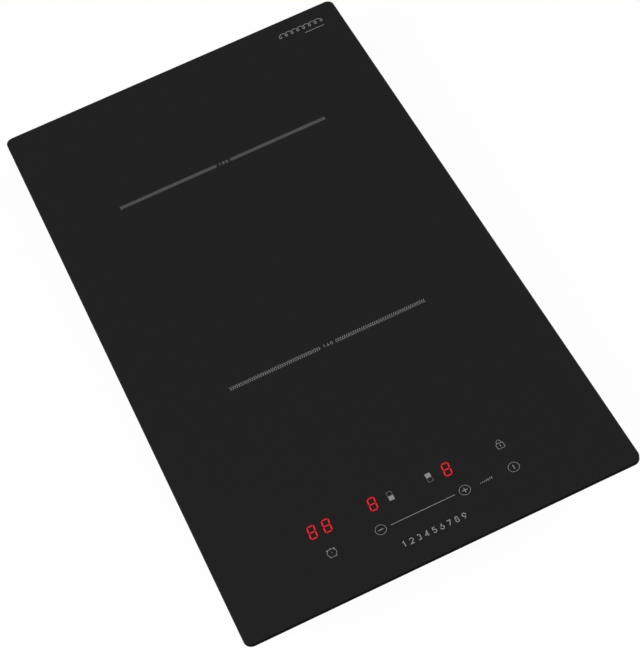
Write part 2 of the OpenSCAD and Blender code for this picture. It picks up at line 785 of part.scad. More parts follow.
// The seven segments of a digit, leaning a little to the right
module digit() {
    half_w = (digit_w - segment_w) / 2;
    half_h = (digit_h - segment_w) / 2;
    gap = 0.2;
    multmatrix([[1, tan(digit_lean), 0, 0], [0, 1, 0, 0], [0, 0, 1, 0], [0, 0, 0, 1]]) {
        for (x = [-1, 1], y = [-1, 1]) translate([x * half_w, y * half_h / 2]) segment(half_h - gap);
        for (y = [-1, 0, 1]) translate([0, y * half_h]) rotate(90) segment(2 * half_w - gap);
    }
}

module display(x, digits) {
    w = (digits - 1) * digit_pitch + digit_body_w;
    color([0.09, 0.09, 0.1]) translate([x, -display_row_y, control_top]) difference() {
        translate([0, 0, digit_body_h / 2]) cube([w, digit_body_d, digit_body_h], center = true);
        for (i = [0 : digits - 1]) translate([(i - (digits - 1) / 2) * digit_pitch, 0, digit_body_h - 0.5])
            linear_extrude(1) digit();
    }
}

module timer_display() display(timer_x, 2);

module zone_displays() {
    display(front_digit_x, 1);
    display(rear_digit_x, 1);
}

// Conical springs between the board and the glass, one under each key and along the slider
module touch_springs() {
    h = glass_z - control_top;
    r = touch_spring_d / 2;
    color([0.83, 0.7, 0.4]) {
        for (x = key_x) translate([x, -key_row_y, control_top]) spring(r * 0.7, r, h, 0.3, 4, 9);
        translate([lock_x, -display_row_y, control_top]) spring(r * 0.7, r, h, 0.3, 4, 9);
        for (i = [0 : slider_pads - 1])
            translate([(i / (slider_pads - 1) - 0.5) * (slider_l - 8), -key_row_y, control_top])
                spring(r * 0.7, r, h, 0.3, 4, 9);
    }
}

// Small square lamps behind the zone symbols
module indicator_leds() {
    color([0.9, 0.88, 0.8]) for (s = [-1, 1], y = [-2, 2])
        translate([s * zone_icon_x, -display_row_y + y, control_top + 1.1])
            cube([3, 2.6, 2.2], center = true);
}

// ================= Power electronics =================

module at_standoffs() {
    inset = 6;
    for (x = [-1, 1], y = [-1, 1]) translate([x * (board_w / 2 - inset), y * (board_d / 2 - inset), 0])
        translate([board_middle[0], board_middle[1], 0]) children();
}

module board_standoffs() {
    color([0.9, 0.9, 0.88]) at_standoffs() translate([0, 0, sheet_t]) difference() {
        union() {
            cylinder(r = 3.4, h = standoff_h, $fn = 6);
            translate([0, 0, 0.1 - sheet_t]) cylinder(r = base_hole_r - turn_gap, h = sheet_t, $fn = 24);
        }
        translate([0, 0, standoff_h - 4.5]) cylinder(r = 1.5 + turn_gap, h = 5, $fn = 24);
    }
}

module power_board() {
    color([0.45, 0.3, 0.1]) difference() {
        translate([board_middle[0], board_middle[1], board_z]) linear_extrude(board_t)
            rounded_rect(board_w, board_d, 3);
        at_standoffs() translate([0, 0, board_z - 1]) cylinder(r = 1.7, h = board_t + 2, $fn = 24);
    }
}

// Extruded profile: a plate with upright fins and two feet, along Y
module heatsink() {
    pitch = (sink_w - fin_t) / (fin_count - 1);
    color([0.76, 0.77, 0.78]) translate([sink_x, sink_front + sink_l, board_top]) rotate([90, 0, 0])
        linear_extrude(sink_l) {
            translate([-sink_w / 2, package_t]) square([sink_w, sink_plate]);
            for (i = [0 : fin_count - 1])
                translate([-sink_w / 2 + i * pitch, package_t + sink_plate - eps]) square([fin_t, fin_h]);
            for (s = [-1, 1]) translate([s * (sink_w / 2 - 1) - 1, 0]) square([2, package_t + eps]);
        }
}

// Flat transistor package under the heat sink, with three legs on the board
module package(w, d, legs) {
    translate([0, 0, package_t / 2]) cube([w, d, package_t], center = true);
    for (i = [0 : legs - 1]) translate([(i - (legs - 1) / 2) * 5 - 0.6, -d / 2 - 4, 0])
        cube([1.2, 4 + eps, 0.8]);
}

module power_transistors() {
    count = 4;
    pitch = (sink_l - 24) / count;
    color([0.08, 0.08, 0.08]) for (i = [0 : count - 1])
        translate([sink_x, sink_front + 16 + i * pitch, board_top]) package(16, pitch - 7, 3);
}

module bridge_rectifier() {
    color([0.1, 0.1, 0.1]) translate([sink_x, sink_front + sink_l - 10, board_top]) package(28, 12, 4);
}

// Boxed capacitors: [place on the board, width, depth, height]
filter_box = [40, 22, 17];
snubber_box = [27, 14, 16];
capacitors = [
    for (u = [-0.35, -0.1], y = [24, 52]) [on_board(u, y), filter_box],
    for (y = [114, 134]) [on_board(-0.39, y), snubber_box]
];

module film_capacitors() {
    color([0.75, 0.6, 0.15]) for (c = capacitors)
        translate([c[0][0], c[0][1], board_top]) linear_extrude(c[1][2]) rounded_rect(c[1][0], c[1][1], 1.5);
}

// Ring core lying flat, wound with turns that each fit round its square section
module filter_choke() {
    core_r = 15;
    core_w = 8;
    wire_w = 1.8;
    turns = 20;
    place = concat(on_board(-0.17, board_d * 2 / 3), board_top + core_w / 2 + fit + wire_w);
    color([0.25, 0.27, 0.25]) translate(place) rotate_extrude($fn = 64)
        translate([core_r, 0]) square([core_w, core_w], center = true);
    color([0.72, 0.42, 0.22]) translate(place) for (i = [0 : turns - 1]) rotate(i * 330 / turns)
        translate([core_r, wire_w / 2, 0]) rotate([90, 0, 0]) linear_extrude(wire_w) difference() {
            square(core_w + 2 * fit + 2 * wire_w, center = true);
            square(core_w + 2 * fit, center = true);
        }
}

// Places of the board's cable headers and of its blade terminals
control_header = on_board(-0.33, 7);
fan_header = on_board(0.1, -50);
header_size = [14, 6, 5];
lug_w = 6;
front_coil_lugs = [on_board(0.15, 14), on_board(0.24, 14)];
rear_coil_lugs = [on_board(0.08, -10), on_board(0.18, -10)];
mains_lugs = [for (i = [0 : poles - 1]) on_board(-0.415, -6) + [i * pole_pitch, 0]];
all_lugs = concat(front_coil_lugs, rear_coil_lugs, mains_lugs);

module on_board_top(place) {
    translate([place[0], place[1], board_top]) children();
}

// Relay, supply transformer, smoothing capacitors, controller, headers and terminals
module board_parts() {
    color([0.15, 0.25, 0.5]) on_board_top(on_board(-0.35, -18)) linear_extrude(15) rounded_rect(28, 12, 1);
    color([0.85, 0.8, 0.4]) on_board_top(on_board(-0.12, -22)) linear_extrude(16) rounded_rect(22, 18, 1);
    color([0.12, 0.12, 0.14]) for (y = [-46, -33, -20])
        on_board_top(on_board(0.01, y)) cylinder(r = 5, h = 18);
    color([0.1, 0.1, 0.1]) on_board_top(on_board(0.02, 98)) cube([12, 12, 1.6]);
    color([0.9, 0.9, 0.86]) for (place = [control_header, fan_header])
        on_board_top(place - [header_size[0], header_size[1]] / 2) cube(header_size);
    color([0.8, 0.8, 0.8]) for (place = all_lugs)
        on_board_top(place - [lug_w, lug_w] / 2) cube([lug_w, lug_w, lug_h]);
}

// Mains terminal block: a row of poles, each with a wire hole and a screw well
module terminal_block() {
    color([0.9, 0.9, 0.88]) difference() {
        translate([-inlet_x, terminal_y, sheet_t]) {
            linear_extrude(22) rounded_rect(poles * pole_pitch + 4, 22, 1.5);
            linear_extrude(3) rounded_rect(poles * pole_pitch + 20, 14, 3);
        }
        for (i = [0 : poles - 1]) translate([pole_x(i), terminal_y, 0]) {
            translate([0, 20, wire_hole_z]) rotate([90, 0, 0]) cylinder(r = 3, h = 40, $fn = 24);
            translate([0, 0, wire_hole_z]) cylinder(r = 3.6, h = 20, $fn = 24);
        }
        for (s = [-1, 1]) translate([-inlet_x + s * (poles * pole_pitch / 2 + 6), terminal_y, -1])
            cylinder(r = 1.8, h = 20, $fn = 24);
    }
}

module terminal_screws() {
    color([0.8, 0.75, 0.5]) for (i = [0 : poles - 1])
        translate([pole_x(i), terminal_y, sheet_t + 17]) pan_screw(2, 5, 3.2, 2);
}

// ================= Fan =================

// Outline of the scroll: its radius grows clockwise towards the outlet, which blows forward
module volute(grow) {
    polygon([for (a = [0 : 8 : 360]) let (r = volute_r0 + (volute_r1 - volute_r0) * a / 360 + grow)
        [r * cos(-a), r * sin(-a)]]);
    translate([volute_r1 - duct_w - grow, -duct_l]) square([duct_w + 2 * grow, duct_l + eps]);
}

module at_fan_ears() {
    for (a = fan_ear_angles)
        translate([fan_x, fan_y, 0]) rotate(a) translate([volute_r1 + 5.5, 0, 0]) children();
}

module fan_casing() {
    h = fan_cover_z - fan_z;
    color([0.13, 0.13, 0.14]) difference() {
        union() {
            translate([fan_x, fan_y, fan_z]) linear_extrude(h) volute(fan_wall);
            for (a = fan_ear_angles) translate([fan_x, fan_y, fan_z]) rotate(a) {
                translate([volute_r0 - 6, -4.5, 0]) cube([volute_r1 - volute_r0 + 11.5, 9, 2.5]);
                translate([volute_r1 + 5.5, 0, 0]) cylinder(r = 4.5, h = 2.5, $fn = 32);
            }
        }
        translate([fan_x, fan_y, fan_z + fan_wall]) linear_extrude(h) volute(0);
        translate([fan_x, fan_y, fan_z - 1]) cylinder(r = intake_r, h = 10);
        translate([fan_x + volute_r1 - duct_w, fan_y - duct_l - 5, fan_z + fan_wall])
            cube([duct_w, 10, h]);
        at_fan_ears() translate([0, 0, fan_z - 1]) cylinder(r = 1.7, h = 6, $fn = 24);
    }
}

// Lid of the scroll; its tube holds the bearing and the stator
module fan_cover() {
    tube_h = fan_cover_z - impeller_z - 5;
    color([0.13, 0.13, 0.14]) translate([fan_x, fan_y, fan_cover_z]) {
        linear_extrude(fan_wall) volute(fan_wall);
        translate([0, 0, -tube_h]) ring(tube_r, bearing_r, tube_h + eps);
    }
}

module fan_bearing() {
    color([0.75, 0.55, 0.3]) translate([fan_x, fan_y, impeller_z + 5.5])
        ring(bearing_r, shaft_r + shaft_gap, fan_cover_z - impeller_z - 7);
}

// Laminated core with four poles, each carrying a winding
module fan_stator() {
    z = impeller_z + 6;
    h = 7;
    translate([fan_x, fan_y, z]) {
        color([0.55, 0.55, 0.57]) difference() {
            union() {
                cylinder(r = tube_r + 2, h = h);
                for (a = [0 : 90 : 270]) rotate(a) translate([0, -1.6, 0]) cube([stator_r - 1, 3.2, h]);
                intersection() {
                    ring(stator_r, stator_r - 1.6, h);
                    for (a = [0 : 90 : 270]) rotate(a + 45) translate([2, 2, 0]) cube([20, 20, h]);
                }
            }
            translate([0, 0, -1]) cylinder(r = tube_r, h = h + 2);
            for (a = [45 : 90 : 315]) rotate(a) translate([tube_r + 2.5, -1.5, -1]) cube([20, 3, h + 2]);
        }
        winding_l = stator_r - tube_r - 4.2;
        color([0.72, 0.42, 0.22]) for (a = [0 : 90 : 270]) rotate(a)
            translate([tube_r + 2.2 + winding_l / 2, 0, h / 2]) cube([winding_l, 5.4, h + 2], center = true);
    }
}

// Forward-curved blade: an arc band between the inner and the outer radius
module blade() {
    r_in = impeller_r - 9;
    bend_r = 8;
    intersection() {
        difference() { circle(impeller_r - 0.4); circle(r_in); }
        translate([r_in + 1, bend_r - 1]) difference() {
            circle(bend_r, $fn = 32);
            circle(bend_r - blade_t, $fn = 32);
            translate([-20, -4]) square([40, 20]);
            translate([-20, -20]) square([18, 40]);
        }
    }
}

module fan_impeller() {
    color([0.11, 0.11, 0.12]) translate([fan_x, fan_y, impeller_z]) {
        // hub cup, open towards the cover
        difference() {
            cylinder(r = hub_r, h = impeller_h);
            translate([0, 0, hub_wall]) cylinder(r = hub_r - hub_wall, h = impeller_h);
            translate([0, 0, -1]) cylinder(r = shaft_r, h = 10, $fn = 32);
        }
        translate([0, 0, hub_wall - eps]) ring(shaft_r + 2, shaft_r, 3);
        // back plate
        translate([0, 0, impeller_h - 1.4]) ring(impeller_r, hub_r - hub_wall / 2, 1.4);
        // blades and the ring that ties them
        for (i = [0 : blade_count - 1]) rotate(360 / blade_count * i)
            linear_extrude(impeller_h - 1.3) blade();
        ring(impeller_r, impeller_r - 2.2, 1.4);
    }
}

module fan_magnet() {
    color([0.25, 0.24, 0.24]) translate([fan_x, fan_y, impeller_z + hub_wall + 1])
        ring(hub_r - hub_wall, hub_r - hub_wall - magnet_t, impeller_h - hub_wall - 3);
}

module fan_shaft() {
    color([0.8, 0.8, 0.82]) translate([fan_x, fan_y, impeller_z])
        cylinder(r = shaft_r, h = fan_cover_z - impeller_z - 1, $fn = 32);
}

// ================= Wiring =================

// Start of a coil's lead, in the coil frame: along the rim, then down through the deck's slot
function rim_drop(zone, side) = [
    for (p = [[1.8, 4, 0], [2.4, -8, 0], [7, -20, -2], [9.5, -29, -8], [9, -31, -12]])
        [side * (zone[1] + p[0]), zone[0] + p[1], coil_z + litz_d / 2 + p[2]]
];
function lug_top(p) = [p[0], p[1], board_top + lug_h + 1.5];
// Places a little in front of the board and a little behind it
function board_entry(u, z) = [u * board_w, board_front - 7, z];
function board_exit(u, z) = [u * board_w, board_front + board_d + 3, z];

coil_routes = [
    concat(rim_drop(front_zone, -1), [
        board_entry(-0.38, 22), over_board(-0.2, 3, 19), over_board(0.04, 4, 19), over_board(0.13, 10, 17),
        lug_top(front_coil_lugs[0])
    ]),
    concat(rim_drop(front_zone, 1), [
        board_entry(0.36, 24), over_board(0.29, 6, 19), lug_top(front_coil_lugs[1])
    ]),
    concat(rim_drop(rear_zone, -1), [
        board_exit(-0.41, 30), over_board(-0.24, -1, 28), over_board(-0.02, -4, 22),
        lug_top(rear_coil_lugs[0])
    ]),
    concat(rim_drop(rear_zone, 1), [
        board_exit(0.4, 28), board_exit(0.29, 23), over_board(0.21, -1, 18),
        lug_top(rear_coil_lugs[1])
    ])
];
mains_routes = [
    for (i = [0 : poles - 1])
        let (x = pole_x(i), lug = mains_lugs[i]) [
            [x, terminal_y - 6, wire_hole_z], [x, terminal_y - 22, wire_hole_z],
            [x + 6, terminal_y - 50, 12], concat(lug + [0, 22], 16), concat(lug + [0, 8], 17), lug_top(lug)
        ]
];
header_top = board_top + header_size[2] + 1;
fan_top = fan_cover_z + fan_wall;
fan_lead_route = [
    [fan_x - 12, fan_y - 12, fan_top + 1], [fan_x - 16, fan_y - 40, fan_top + 1],
    concat(fan_header + [7, 60], 27), concat(fan_header + [6, 40], 24), concat(fan_header + [4, 18], 19),
    concat(fan_header + [0, 4], 16.5), concat(fan_header, header_top)
];
// Place over the straight way from the ribbon's drop to its header, at the share t
function ribbon_way(t, z) =
    concat((1 - t) * [ribbon_x, ribbon_drop_y] + t * control_header, z);
ribbon_route = [
    [ribbon_x, control_y + control_board_d / 2 - 0.9, control_top + 2],
    [ribbon_x, ribbon_drop_y - 4, control_top + 1.5], ribbon_way(0, control_top - 4),
    ribbon_way(0, deck_bottom - 2), ribbon_way(0.13, 28), ribbon_way(0.54, 21), ribbon_way(0.86, 17.5),
    ribbon_way(1, header_top)
];

module coil_leads() {
    color([0.7, 0.4, 0.2]) for (p = coil_routes) tube_along(spline(p, 3), 1.4, 6);
}

module mains_leads() {
    colours = [[0.35, 0.2, 0.1], [0.1, 0.25, 0.6], [0.2, 0.55, 0.2]];
    for (i = [0 : poles - 1]) color(colours[i]) tube_along(spline(mains_routes[i], 3), 1.3, 6);
}

module fan_lead() {
    color([0.6, 0.1, 0.1]) for (side = [-1, 1])
        tube_along([for (p = spline(fan_lead_route, 3)) p + [side, 0, 0]], 0.8, 6);
}

module control_ribbon() {
    color([0.85, 0.85, 0.82]) for (i = [-1.5 : 1.5])
        tube_along([for (p = spline(ribbon_route, 3)) p + [i * 1.5, 0, 0]], 0.65, 5);
}

// ================= Clamps =================

// Four clamps, as [side, end]: side is -1 left or 1 right, end is -1 front or 1 rear.
// Each frame has its screw's axis at the origin, X pointing out of the tray's wall
// and Y pointing along the wall towards the middle of the side.
clamps = [[-1, -1], [1, -1], [-1, 1], [1, 1]];

module clamp_frame(c) {
    translate([c[0] * clamp_x, c[1] * clamp_y, 0])
        mirror([c[0] < 0 ? 1 : 0, 0, 0]) mirror([0, c[1] > 0 ? 1 : 0, 0]) children();
}

// Steel angle welded to the tray wall; its lug carries the weld nut that the screw climbs
module clamp_brackets() {
    wall = tray_w / 2 - clamp_x;
    web_h = 14;
    color([0.68, 0.69, 0.7]) for (c = clamps) clamp_frame(c) difference() {
        union() {
            translate([wall, -clamp_w / 2 - 2, lug_z]) cube([bracket_t, clamp_w + 4, web_h]);
            translate([0, 0, lug_z]) linear_extrude(bracket_t) {
                circle(clamp_w / 2 + 0.5);
                translate([wall, -clamp_w / 2 - 0.5]) square([-wall, clamp_w + 1]);
            }
            translate([0, 0, lug_z + bracket_t - eps]) cylinder(r = weld_nut_r, h = weld_nut_h, $fn = 6);
            // weld dimples
            for (y = [-1, 1]) translate([wall + bracket_t - eps, y * 3, lug_z + web_h - 3.5])
                rotate([0, 90, 0]) cylinder(r1 = 1.6, r2 = 1, h = 0.4, $fn = 24);
        }
        translate([0, 0, lug_z - 1]) cylinder(r = clamp_screw_r + turn_gap, h = 10, $fn = 32);
    }
}

// Screw with its head down: turning it lifts it, with the washer and the arm on its head
module clamp_screw(c) {
    color([0.75, 0.75, 0.76]) clamp_frame(c) translate([0, 0, clamp_seat_z + show_lift * clamp_lift])
        mirror([0, 0, 1]) pan_screw(clamp_screw_r, clamp_screw_l, 3.6, clamp_head_h);
}

module clamp_washer(c) {
    color([0.78, 0.78, 0.8]) clamp_frame(c) translate([0, 0, washer_z + show_lift * clamp_lift])
        ring(clamp_w / 2, clamp_screw_r + turn_gap, washer_t);
}

// Steel arm with a toothed tip that bears on the worktop's underside
module clamp_arm(c) {
    teeth = 3;
    color([0.68, 0.69, 0.7]) clamp_frame(c) translate([0, 0, arm_z + show_lift * clamp_lift])
        rotate(-show_swing * clamp_swing) difference() {
            union() {
                linear_extrude(clamp_t) {
                    circle(clamp_w / 2);
                    translate([-clamp_w / 2, 0]) square([clamp_w, clamp_reach]);
                }
                translate([-clamp_w / 2, clamp_reach - 2 * teeth, clamp_t - eps]) rotate([90, 0, 90])
                    linear_extrude(clamp_w)
                        polygon([for (i = [0 : 2 * teeth]) [i, i % 2 == 0 ? 0 : tooth_h]]);
            }
            translate([0, 0, -1]) cylinder(r = clamp_screw_r + 2 * turn_gap, h = clamp_t + 2, $fn = 32);
            translate([0, clamp_reach * 0.55, -1]) cylinder(r = 1.6, h = clamp_t + 2, $fn = 24);
        }
}

// ================= Which node is drawn =================

glass_top();
edge_seal();
glass_frame();
tray();
tray_screws();
fan_grille();
inlet_plate();
cable_grommet();
coil_deck();
deck_posts();
inner_screws();
mica_sheets();
felt_pads();
coil_front();
coil_rear();
coil_former_front();
coil_former_rear();
ferrite_bars();
support_springs();
heat_sensors();
control_holder();
control_board();
timer_display();
zone_displays();
touch_springs();
indicator_leds();
power_board();
board_standoffs();
heatsink();
power_transistors();
bridge_rectifier();
film_capacitors();
filter_choke();
board_parts();
terminal_block();
terminal_screws();
fan_casing();
fan_cover();
fan_stator();
fan_bearing();
fan_impeller();
fan_magnet();
fan_shaft();
coil_leads();
mains_leads();
fan_lead();
control_ribbon();
clamp_brackets();
clamp_screw(clamps[0]);  // clamp_screw_front_left
clamp_screw(clamps[1]);  // clamp_screw_front_right
clamp_screw(clamps[2]);  // clamp_screw_rear_left
clamp_screw(clamps[3]);  // clamp_screw_rear_right
clamp_washer(clamps[0]);  // clamp_washer_front_left
clamp_washer(clamps[1]);  // clamp_washer_front_right
clamp_washer(clamps[2]);  // clamp_washer_rear_left
clamp_washer(clamps[3]);  // clamp_washer_rear_right
clamp_arm(clamps[0]);  // clamp_arm_front_left
clamp_arm(clamps[1]);  // clamp_arm_front_right
clamp_arm(clamps[2]);  // clamp_arm_rear_left
clamp_arm(clamps[3]);  // clamp_arm_rear_right
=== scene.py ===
"""Looks of a two-zone built-in induction cooktop, laid out as an add-on and run as a script.

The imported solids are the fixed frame. Everything made here takes its place from their boxes:
the printed marks and lit digits on the glass, the foam seal and felt pads under it, the threads
of the clamp screws, the finish of every piece, and the studio round it.
"""

import math

import bpy
import numpy as np
from bpy.props import FloatProperty, FloatVectorProperty, IntProperty, PointerProperty
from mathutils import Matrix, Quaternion, Vector


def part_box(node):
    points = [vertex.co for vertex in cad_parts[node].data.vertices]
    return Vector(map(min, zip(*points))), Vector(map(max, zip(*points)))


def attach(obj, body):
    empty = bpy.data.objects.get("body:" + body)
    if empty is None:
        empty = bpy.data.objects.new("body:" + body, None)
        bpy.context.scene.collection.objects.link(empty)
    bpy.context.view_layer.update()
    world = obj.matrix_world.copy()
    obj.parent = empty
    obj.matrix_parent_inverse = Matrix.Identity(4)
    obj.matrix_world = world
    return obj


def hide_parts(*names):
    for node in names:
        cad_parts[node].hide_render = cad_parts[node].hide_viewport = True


bl_info = {
    "name": "Induction cooktop looks",
    "version": (1, 0, 0),
    "blender": (4, 5, 0),
    "location": "3D View > Sidebar > Cooktop",
    "description": "Finishes, glass prints, lit digits, soft parts and studio of an induction cooktop",
    "category": "Object",
}

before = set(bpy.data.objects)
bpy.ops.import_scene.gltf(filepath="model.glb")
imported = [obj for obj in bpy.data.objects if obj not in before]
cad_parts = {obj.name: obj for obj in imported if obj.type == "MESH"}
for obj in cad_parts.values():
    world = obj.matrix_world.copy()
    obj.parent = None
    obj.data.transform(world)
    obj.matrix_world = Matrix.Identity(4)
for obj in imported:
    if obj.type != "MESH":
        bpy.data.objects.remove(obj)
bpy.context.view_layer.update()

MM = 0.001
GLASS_LOW, GLASS_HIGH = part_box("glass_top")
GLASS_Z = GLASS_HIGH.z
# how far a flat print or lit segment stands clear of the glass, so that the two don't flicker
CLEAR = 0.005 * MM
FRONT_EDGE = GLASS_LOW.y
TIMER_LOW, TIMER_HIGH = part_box("timer_display")
ZONE_LOW, ZONE_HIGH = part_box("zone_displays")
# the outer zone lamps end the row of lamps, and each is 3 mm wide
LAMP_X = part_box("indicator_leds")[1].x - 1.5 * MM
TOUCH_LOW, TOUCH_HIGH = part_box("touch_springs")
DISPLAY_ROW = (TIMER_LOW.y + TIMER_HIGH.y) / 2
# the lock's touch spring stands in the display row, the other touch springs in the key row
TOUCH_RADIUS = TOUCH_HIGH.y - DISPLAY_ROW
KEY_ROW = TOUCH_LOW.y + TOUCH_RADIUS
POWER_X = TOUCH_HIGH.x - TOUCH_RADIUS
CORNERS = ("front_left", "front_right", "rear_left", "rear_right")


def linear(hex_code):
    """Linear red, green and blue of an sRGB hex code, by the standard's own curve."""
    parts = [int(hex_code[i : i + 2], 16) / 255 for i in (0, 2, 4)]
    return tuple(c / 12.92 if c <= 0.04045 else ((c + 0.055) / 1.055) ** 2.4 for c in parts)


def length(name, description, millimetres):
    """A length property, shown in the scene's units, with its default given in millimetres."""
    return FloatProperty(name=name, description=description, default=millimetres * MM, unit="LENGTH")


def share(name, description, default):
    """A plain number between 0 and 1."""
    return FloatProperty(name=name, description=description, default=default, min=0.0, max=1.0)


def colour(name, description, hex_code):
    """A colour property with its default given as an sRGB hex code."""
    return FloatVectorProperty(
        name=name, description=description, default=linear(hex_code), subtype="COLOR", min=0.0, max=1.0
    )


# ---- Settings that a user would change ----


class GlassSettings(bpy.types.PropertyGroup):
    """The glass-ceramic plate."""

    body: colour("Body", "Colour of the dark glass-ceramic itself", "151516")
    bevel: colour("Bevel", "Colour of the ground bevel, which scatters a little light", "1A1A1B")
    # the side's near black colour is painted shade: the cut side is the same glass as the body, darkened
    # for the dark line along the plate's edge
    side: colour("Side", "Colour of the cut side, where little light comes back out", "040404")
    bevel_height: length("Bevel height", "Height of the ground bevel", 0.8)
    polish: share("Polish", "Roughness of the polished face", 0.04)


class SoftSettings(bpy.types.PropertyGroup):
    """The foam seal under the plate's edge and the felt pads on the coils."""

    seal_width: length("Seal width", "Width of the foam strip", 7.0)
    seal_corner: length("Seal corner", "Radius of the strip's outer corners", 4.0)
    seal_wave: length("Seal wave", "How far the cut underside of the strip rises and falls", 0.12)
    seal_joint: length("Seal joint", "Gap between the strip's two ends", 0.3)
    seal_inner_corner: length("Seal inner corner", "Radius of the strip's inner corners", 0.4)
    pad_hole: length("Pad hole", "Radius of the hole in a felt pad", 16.0)
    pad_wave: length("Pad wave", "How far the top of a felt pad rises and falls", 0.15)


class PrintSettings(bpy.types.PropertyGroup):
    """Enamel marks fired on the glass."""

    ink: colour("Ink", "Colour of the fired enamel", "787876")
    ink_height: length("Ink height", "Thickness of the enamel above the glass", 0.03)
    number_row: length("Number row", "Distance of the level numbers from the front edge", 18.8)
    number_height: length("Number height", "Height of the level numbers", 4.2)
    number_line: length("Number line", "Width of the lines of the level numbers", 0.62)
    ring_radius: length("Key ring", "Radius of a key's ring, to the middle of its line", 3.85)
    ring_line: length("Ring line", "Width of the line of a key's ring", 0.3)
    sign_line: length("Sign line", "Width of the bars of plus, minus and power", 0.58)
    sign_arm: length("Sign arm", "Half the length of the bars of plus, minus and power", 1.9)
    picture_line: length("Picture line", "Width of the lines of the clock and the padlock", 0.33)
    key_offset: length("Plus and minus", "Distance of the plus and minus keys from the middle", 31.2)
    slider_half: length("Slider half", "Half the length of the slider's line", 23.8)
    slider_line: length("Slider line", "Width of the slider's line", 0.42)
    power_gap: length("Full power", "Distance of the full power bars from the plus key", 11.6)
    power_pitch: length("Bar pitch", "Distance between two full power bars", 1.4)
    power_line: length("Bar line", "Width of a full power bar", 0.5)
    square_side: length("Square", "Side of a square of the zone signs", 3.7)
    square_line: length("Square line", "Width of the line of a bare square", 0.16)
    chevron_pitch: length("Chevron pitch", "Distance between the chevrons of a zone line", 1.7)
    chevron_line: length("Chevron line", "Width of one chevron's line", 0.42)
    chevron_height: length("Chevron height", "Height of a zone line, across the chevrons", 3.6)
    zone_gap: length("Zone gap", "Half the gap in the middle of a zone line", 6.3)
    zone_reach: length("Zone reach", "How far a zone line reaches past its coil", 6.0)
    zone_number: length("Zone number", "Height of the number in a zone line", 2.4)
    loop_radius: length("Loop radius", "Radius of a loop of the coil mark", 2.2)
    loop_pitch: length("Loop pitch", "Distance between two loops of the coil mark", 5.2)
    loop_line: length("Loop line", "Width of the lines of the coil mark", 0.6)


class DisplaySettings(bpy.types.PropertyGroup):
    """Lit seven-segment digits under the glass."""

    core: colour("Core", "Colour of the middle of a lit segment", "AE464A")
    rim: colour("Rim", "Colour of the edge of a lit segment", "8C060B")
    glow: colour("Glow", "Colour that a lit segment gives the glass beside it", "4A080A")
    glow_reach: length("Glow reach", "How far the glow reaches past a segment", 0.8)
    digit_width: length("Digit width", "Width of a digit", 6.1)
    digit_height: length("Digit height", "Height of a digit", 11.3)
    segment: length("Segment", "Width of a segment", 1.3)
    gap: length("Gap", "Gap between the tips of two segments", 0.25)
    lean: FloatProperty(
        name="Lean", description="How far the digits lean to the right",
        default=math.radians(5), subtype="ANGLE",
    )


class ScrewSettings(bpy.types.PropertyGroup):
    """Threads of the four clamp screws."""

    pitch: length("Pitch", "Rise of the thread in one turn", 0.7)
    depth: length("Depth", "Depth of the thread", 0.38)
    socket: length("Socket", "Distance across the flats of the hexagon socket", 2.5)
    socket_depth: length("Socket depth", "Depth of the hexagon socket", 1.4)
    shank: length("Shank", "Radius over the thread", 2.0)
    head: length("Head", "Height of the head", 2.4)
    rim: length("Rim", "Radius of the head's rounded rim", 0.9)
    break_edge: length("Broken edge", "Width of the small chamfer under the head", 0.15)
    tip: length("Tip", "Length of the tapered tip", 0.8)
    tip_taper: length("Tip taper", "How far the tip tapers, on its radius", 0.5)
    steps: IntProperty(name="Steps", description="Rings of points in a turn of thread", default=6, min=4)


class StageSettings(bpy.types.PropertyGroup):
    """Floor, surroundings, lamps and camera."""

    floor: colour("Floor", "Colour of the floor", "F2F2F0")
    shine_through: share("White share", "How much of the floor's look is plain white to the camera", 0.94)
    horizon: share("Horizon", "Brightness of the surroundings near the floor", 1.0)
    zenith: share("Zenith", "Brightness of the surroundings overhead", 0.14)
    camera_from: FloatVectorProperty(
        name="Camera", description="Camera's place, from the middle of the glass",
        default=(-0.17385, -0.93435, 1.1349), subtype="TRANSLATION",
    )
    camera_to: FloatVectorProperty(
        name="Target", description="Point that the camera looks at, from the middle of the glass",
        default=(0.00123, -0.04705, 0.0), subtype="TRANSLATION",
    )
    camera_roll: FloatProperty(
        name="Roll", description="How far the camera is turned about its own view",
        default=math.radians(-15.79), subtype="ANGLE",
    )
    lens: FloatProperty(
        name="Lens", description="Focal length on a 36 mm sensor", default=110.91, unit="CAMERA"
    )


# ---- Shapes ----


def arc(centre, radius, start, end, steps=24):
    """Points at centre + radius (cos a, sin a), for evenly spaced angles a in degrees."""
    a = np.radians(np.linspace(start, end, steps))
    return np.asarray(centre, float) + radius * np.stack([np.cos(a), np.sin(a)], axis=1)


def grid_faces(rows, columns, wrap_rows=False, wrap_columns=True):
    """Quads that join each point of a grid to the next row and the next column."""
    r = np.arange(rows if wrap_rows else rows - 1)[:, None]
    c = np.arange(columns if wrap_columns else columns - 1)[None, :]
    r2, c2 = (r + 1) % rows, (c + 1) % columns
    corners = [r * columns + c, r * columns + c2, r2 * columns + c2, r2 * columns + c]
    return np.stack(corners, axis=-1).reshape(-1, 4)


def swept(sections, wrap=False):
    """A closed solid through an array of closed sections: quads between them, a face at each end."""
    rows, columns = sections.shape[:2]
    faces = grid_faces(rows, columns, wrap_rows=wrap).tolist()
    if not wrap:
        faces.append(list(range(columns))[::-1])
        faces.append([(rows - 1) * columns + i for i in range(columns)])
    return sections.reshape(-1, 3), faces


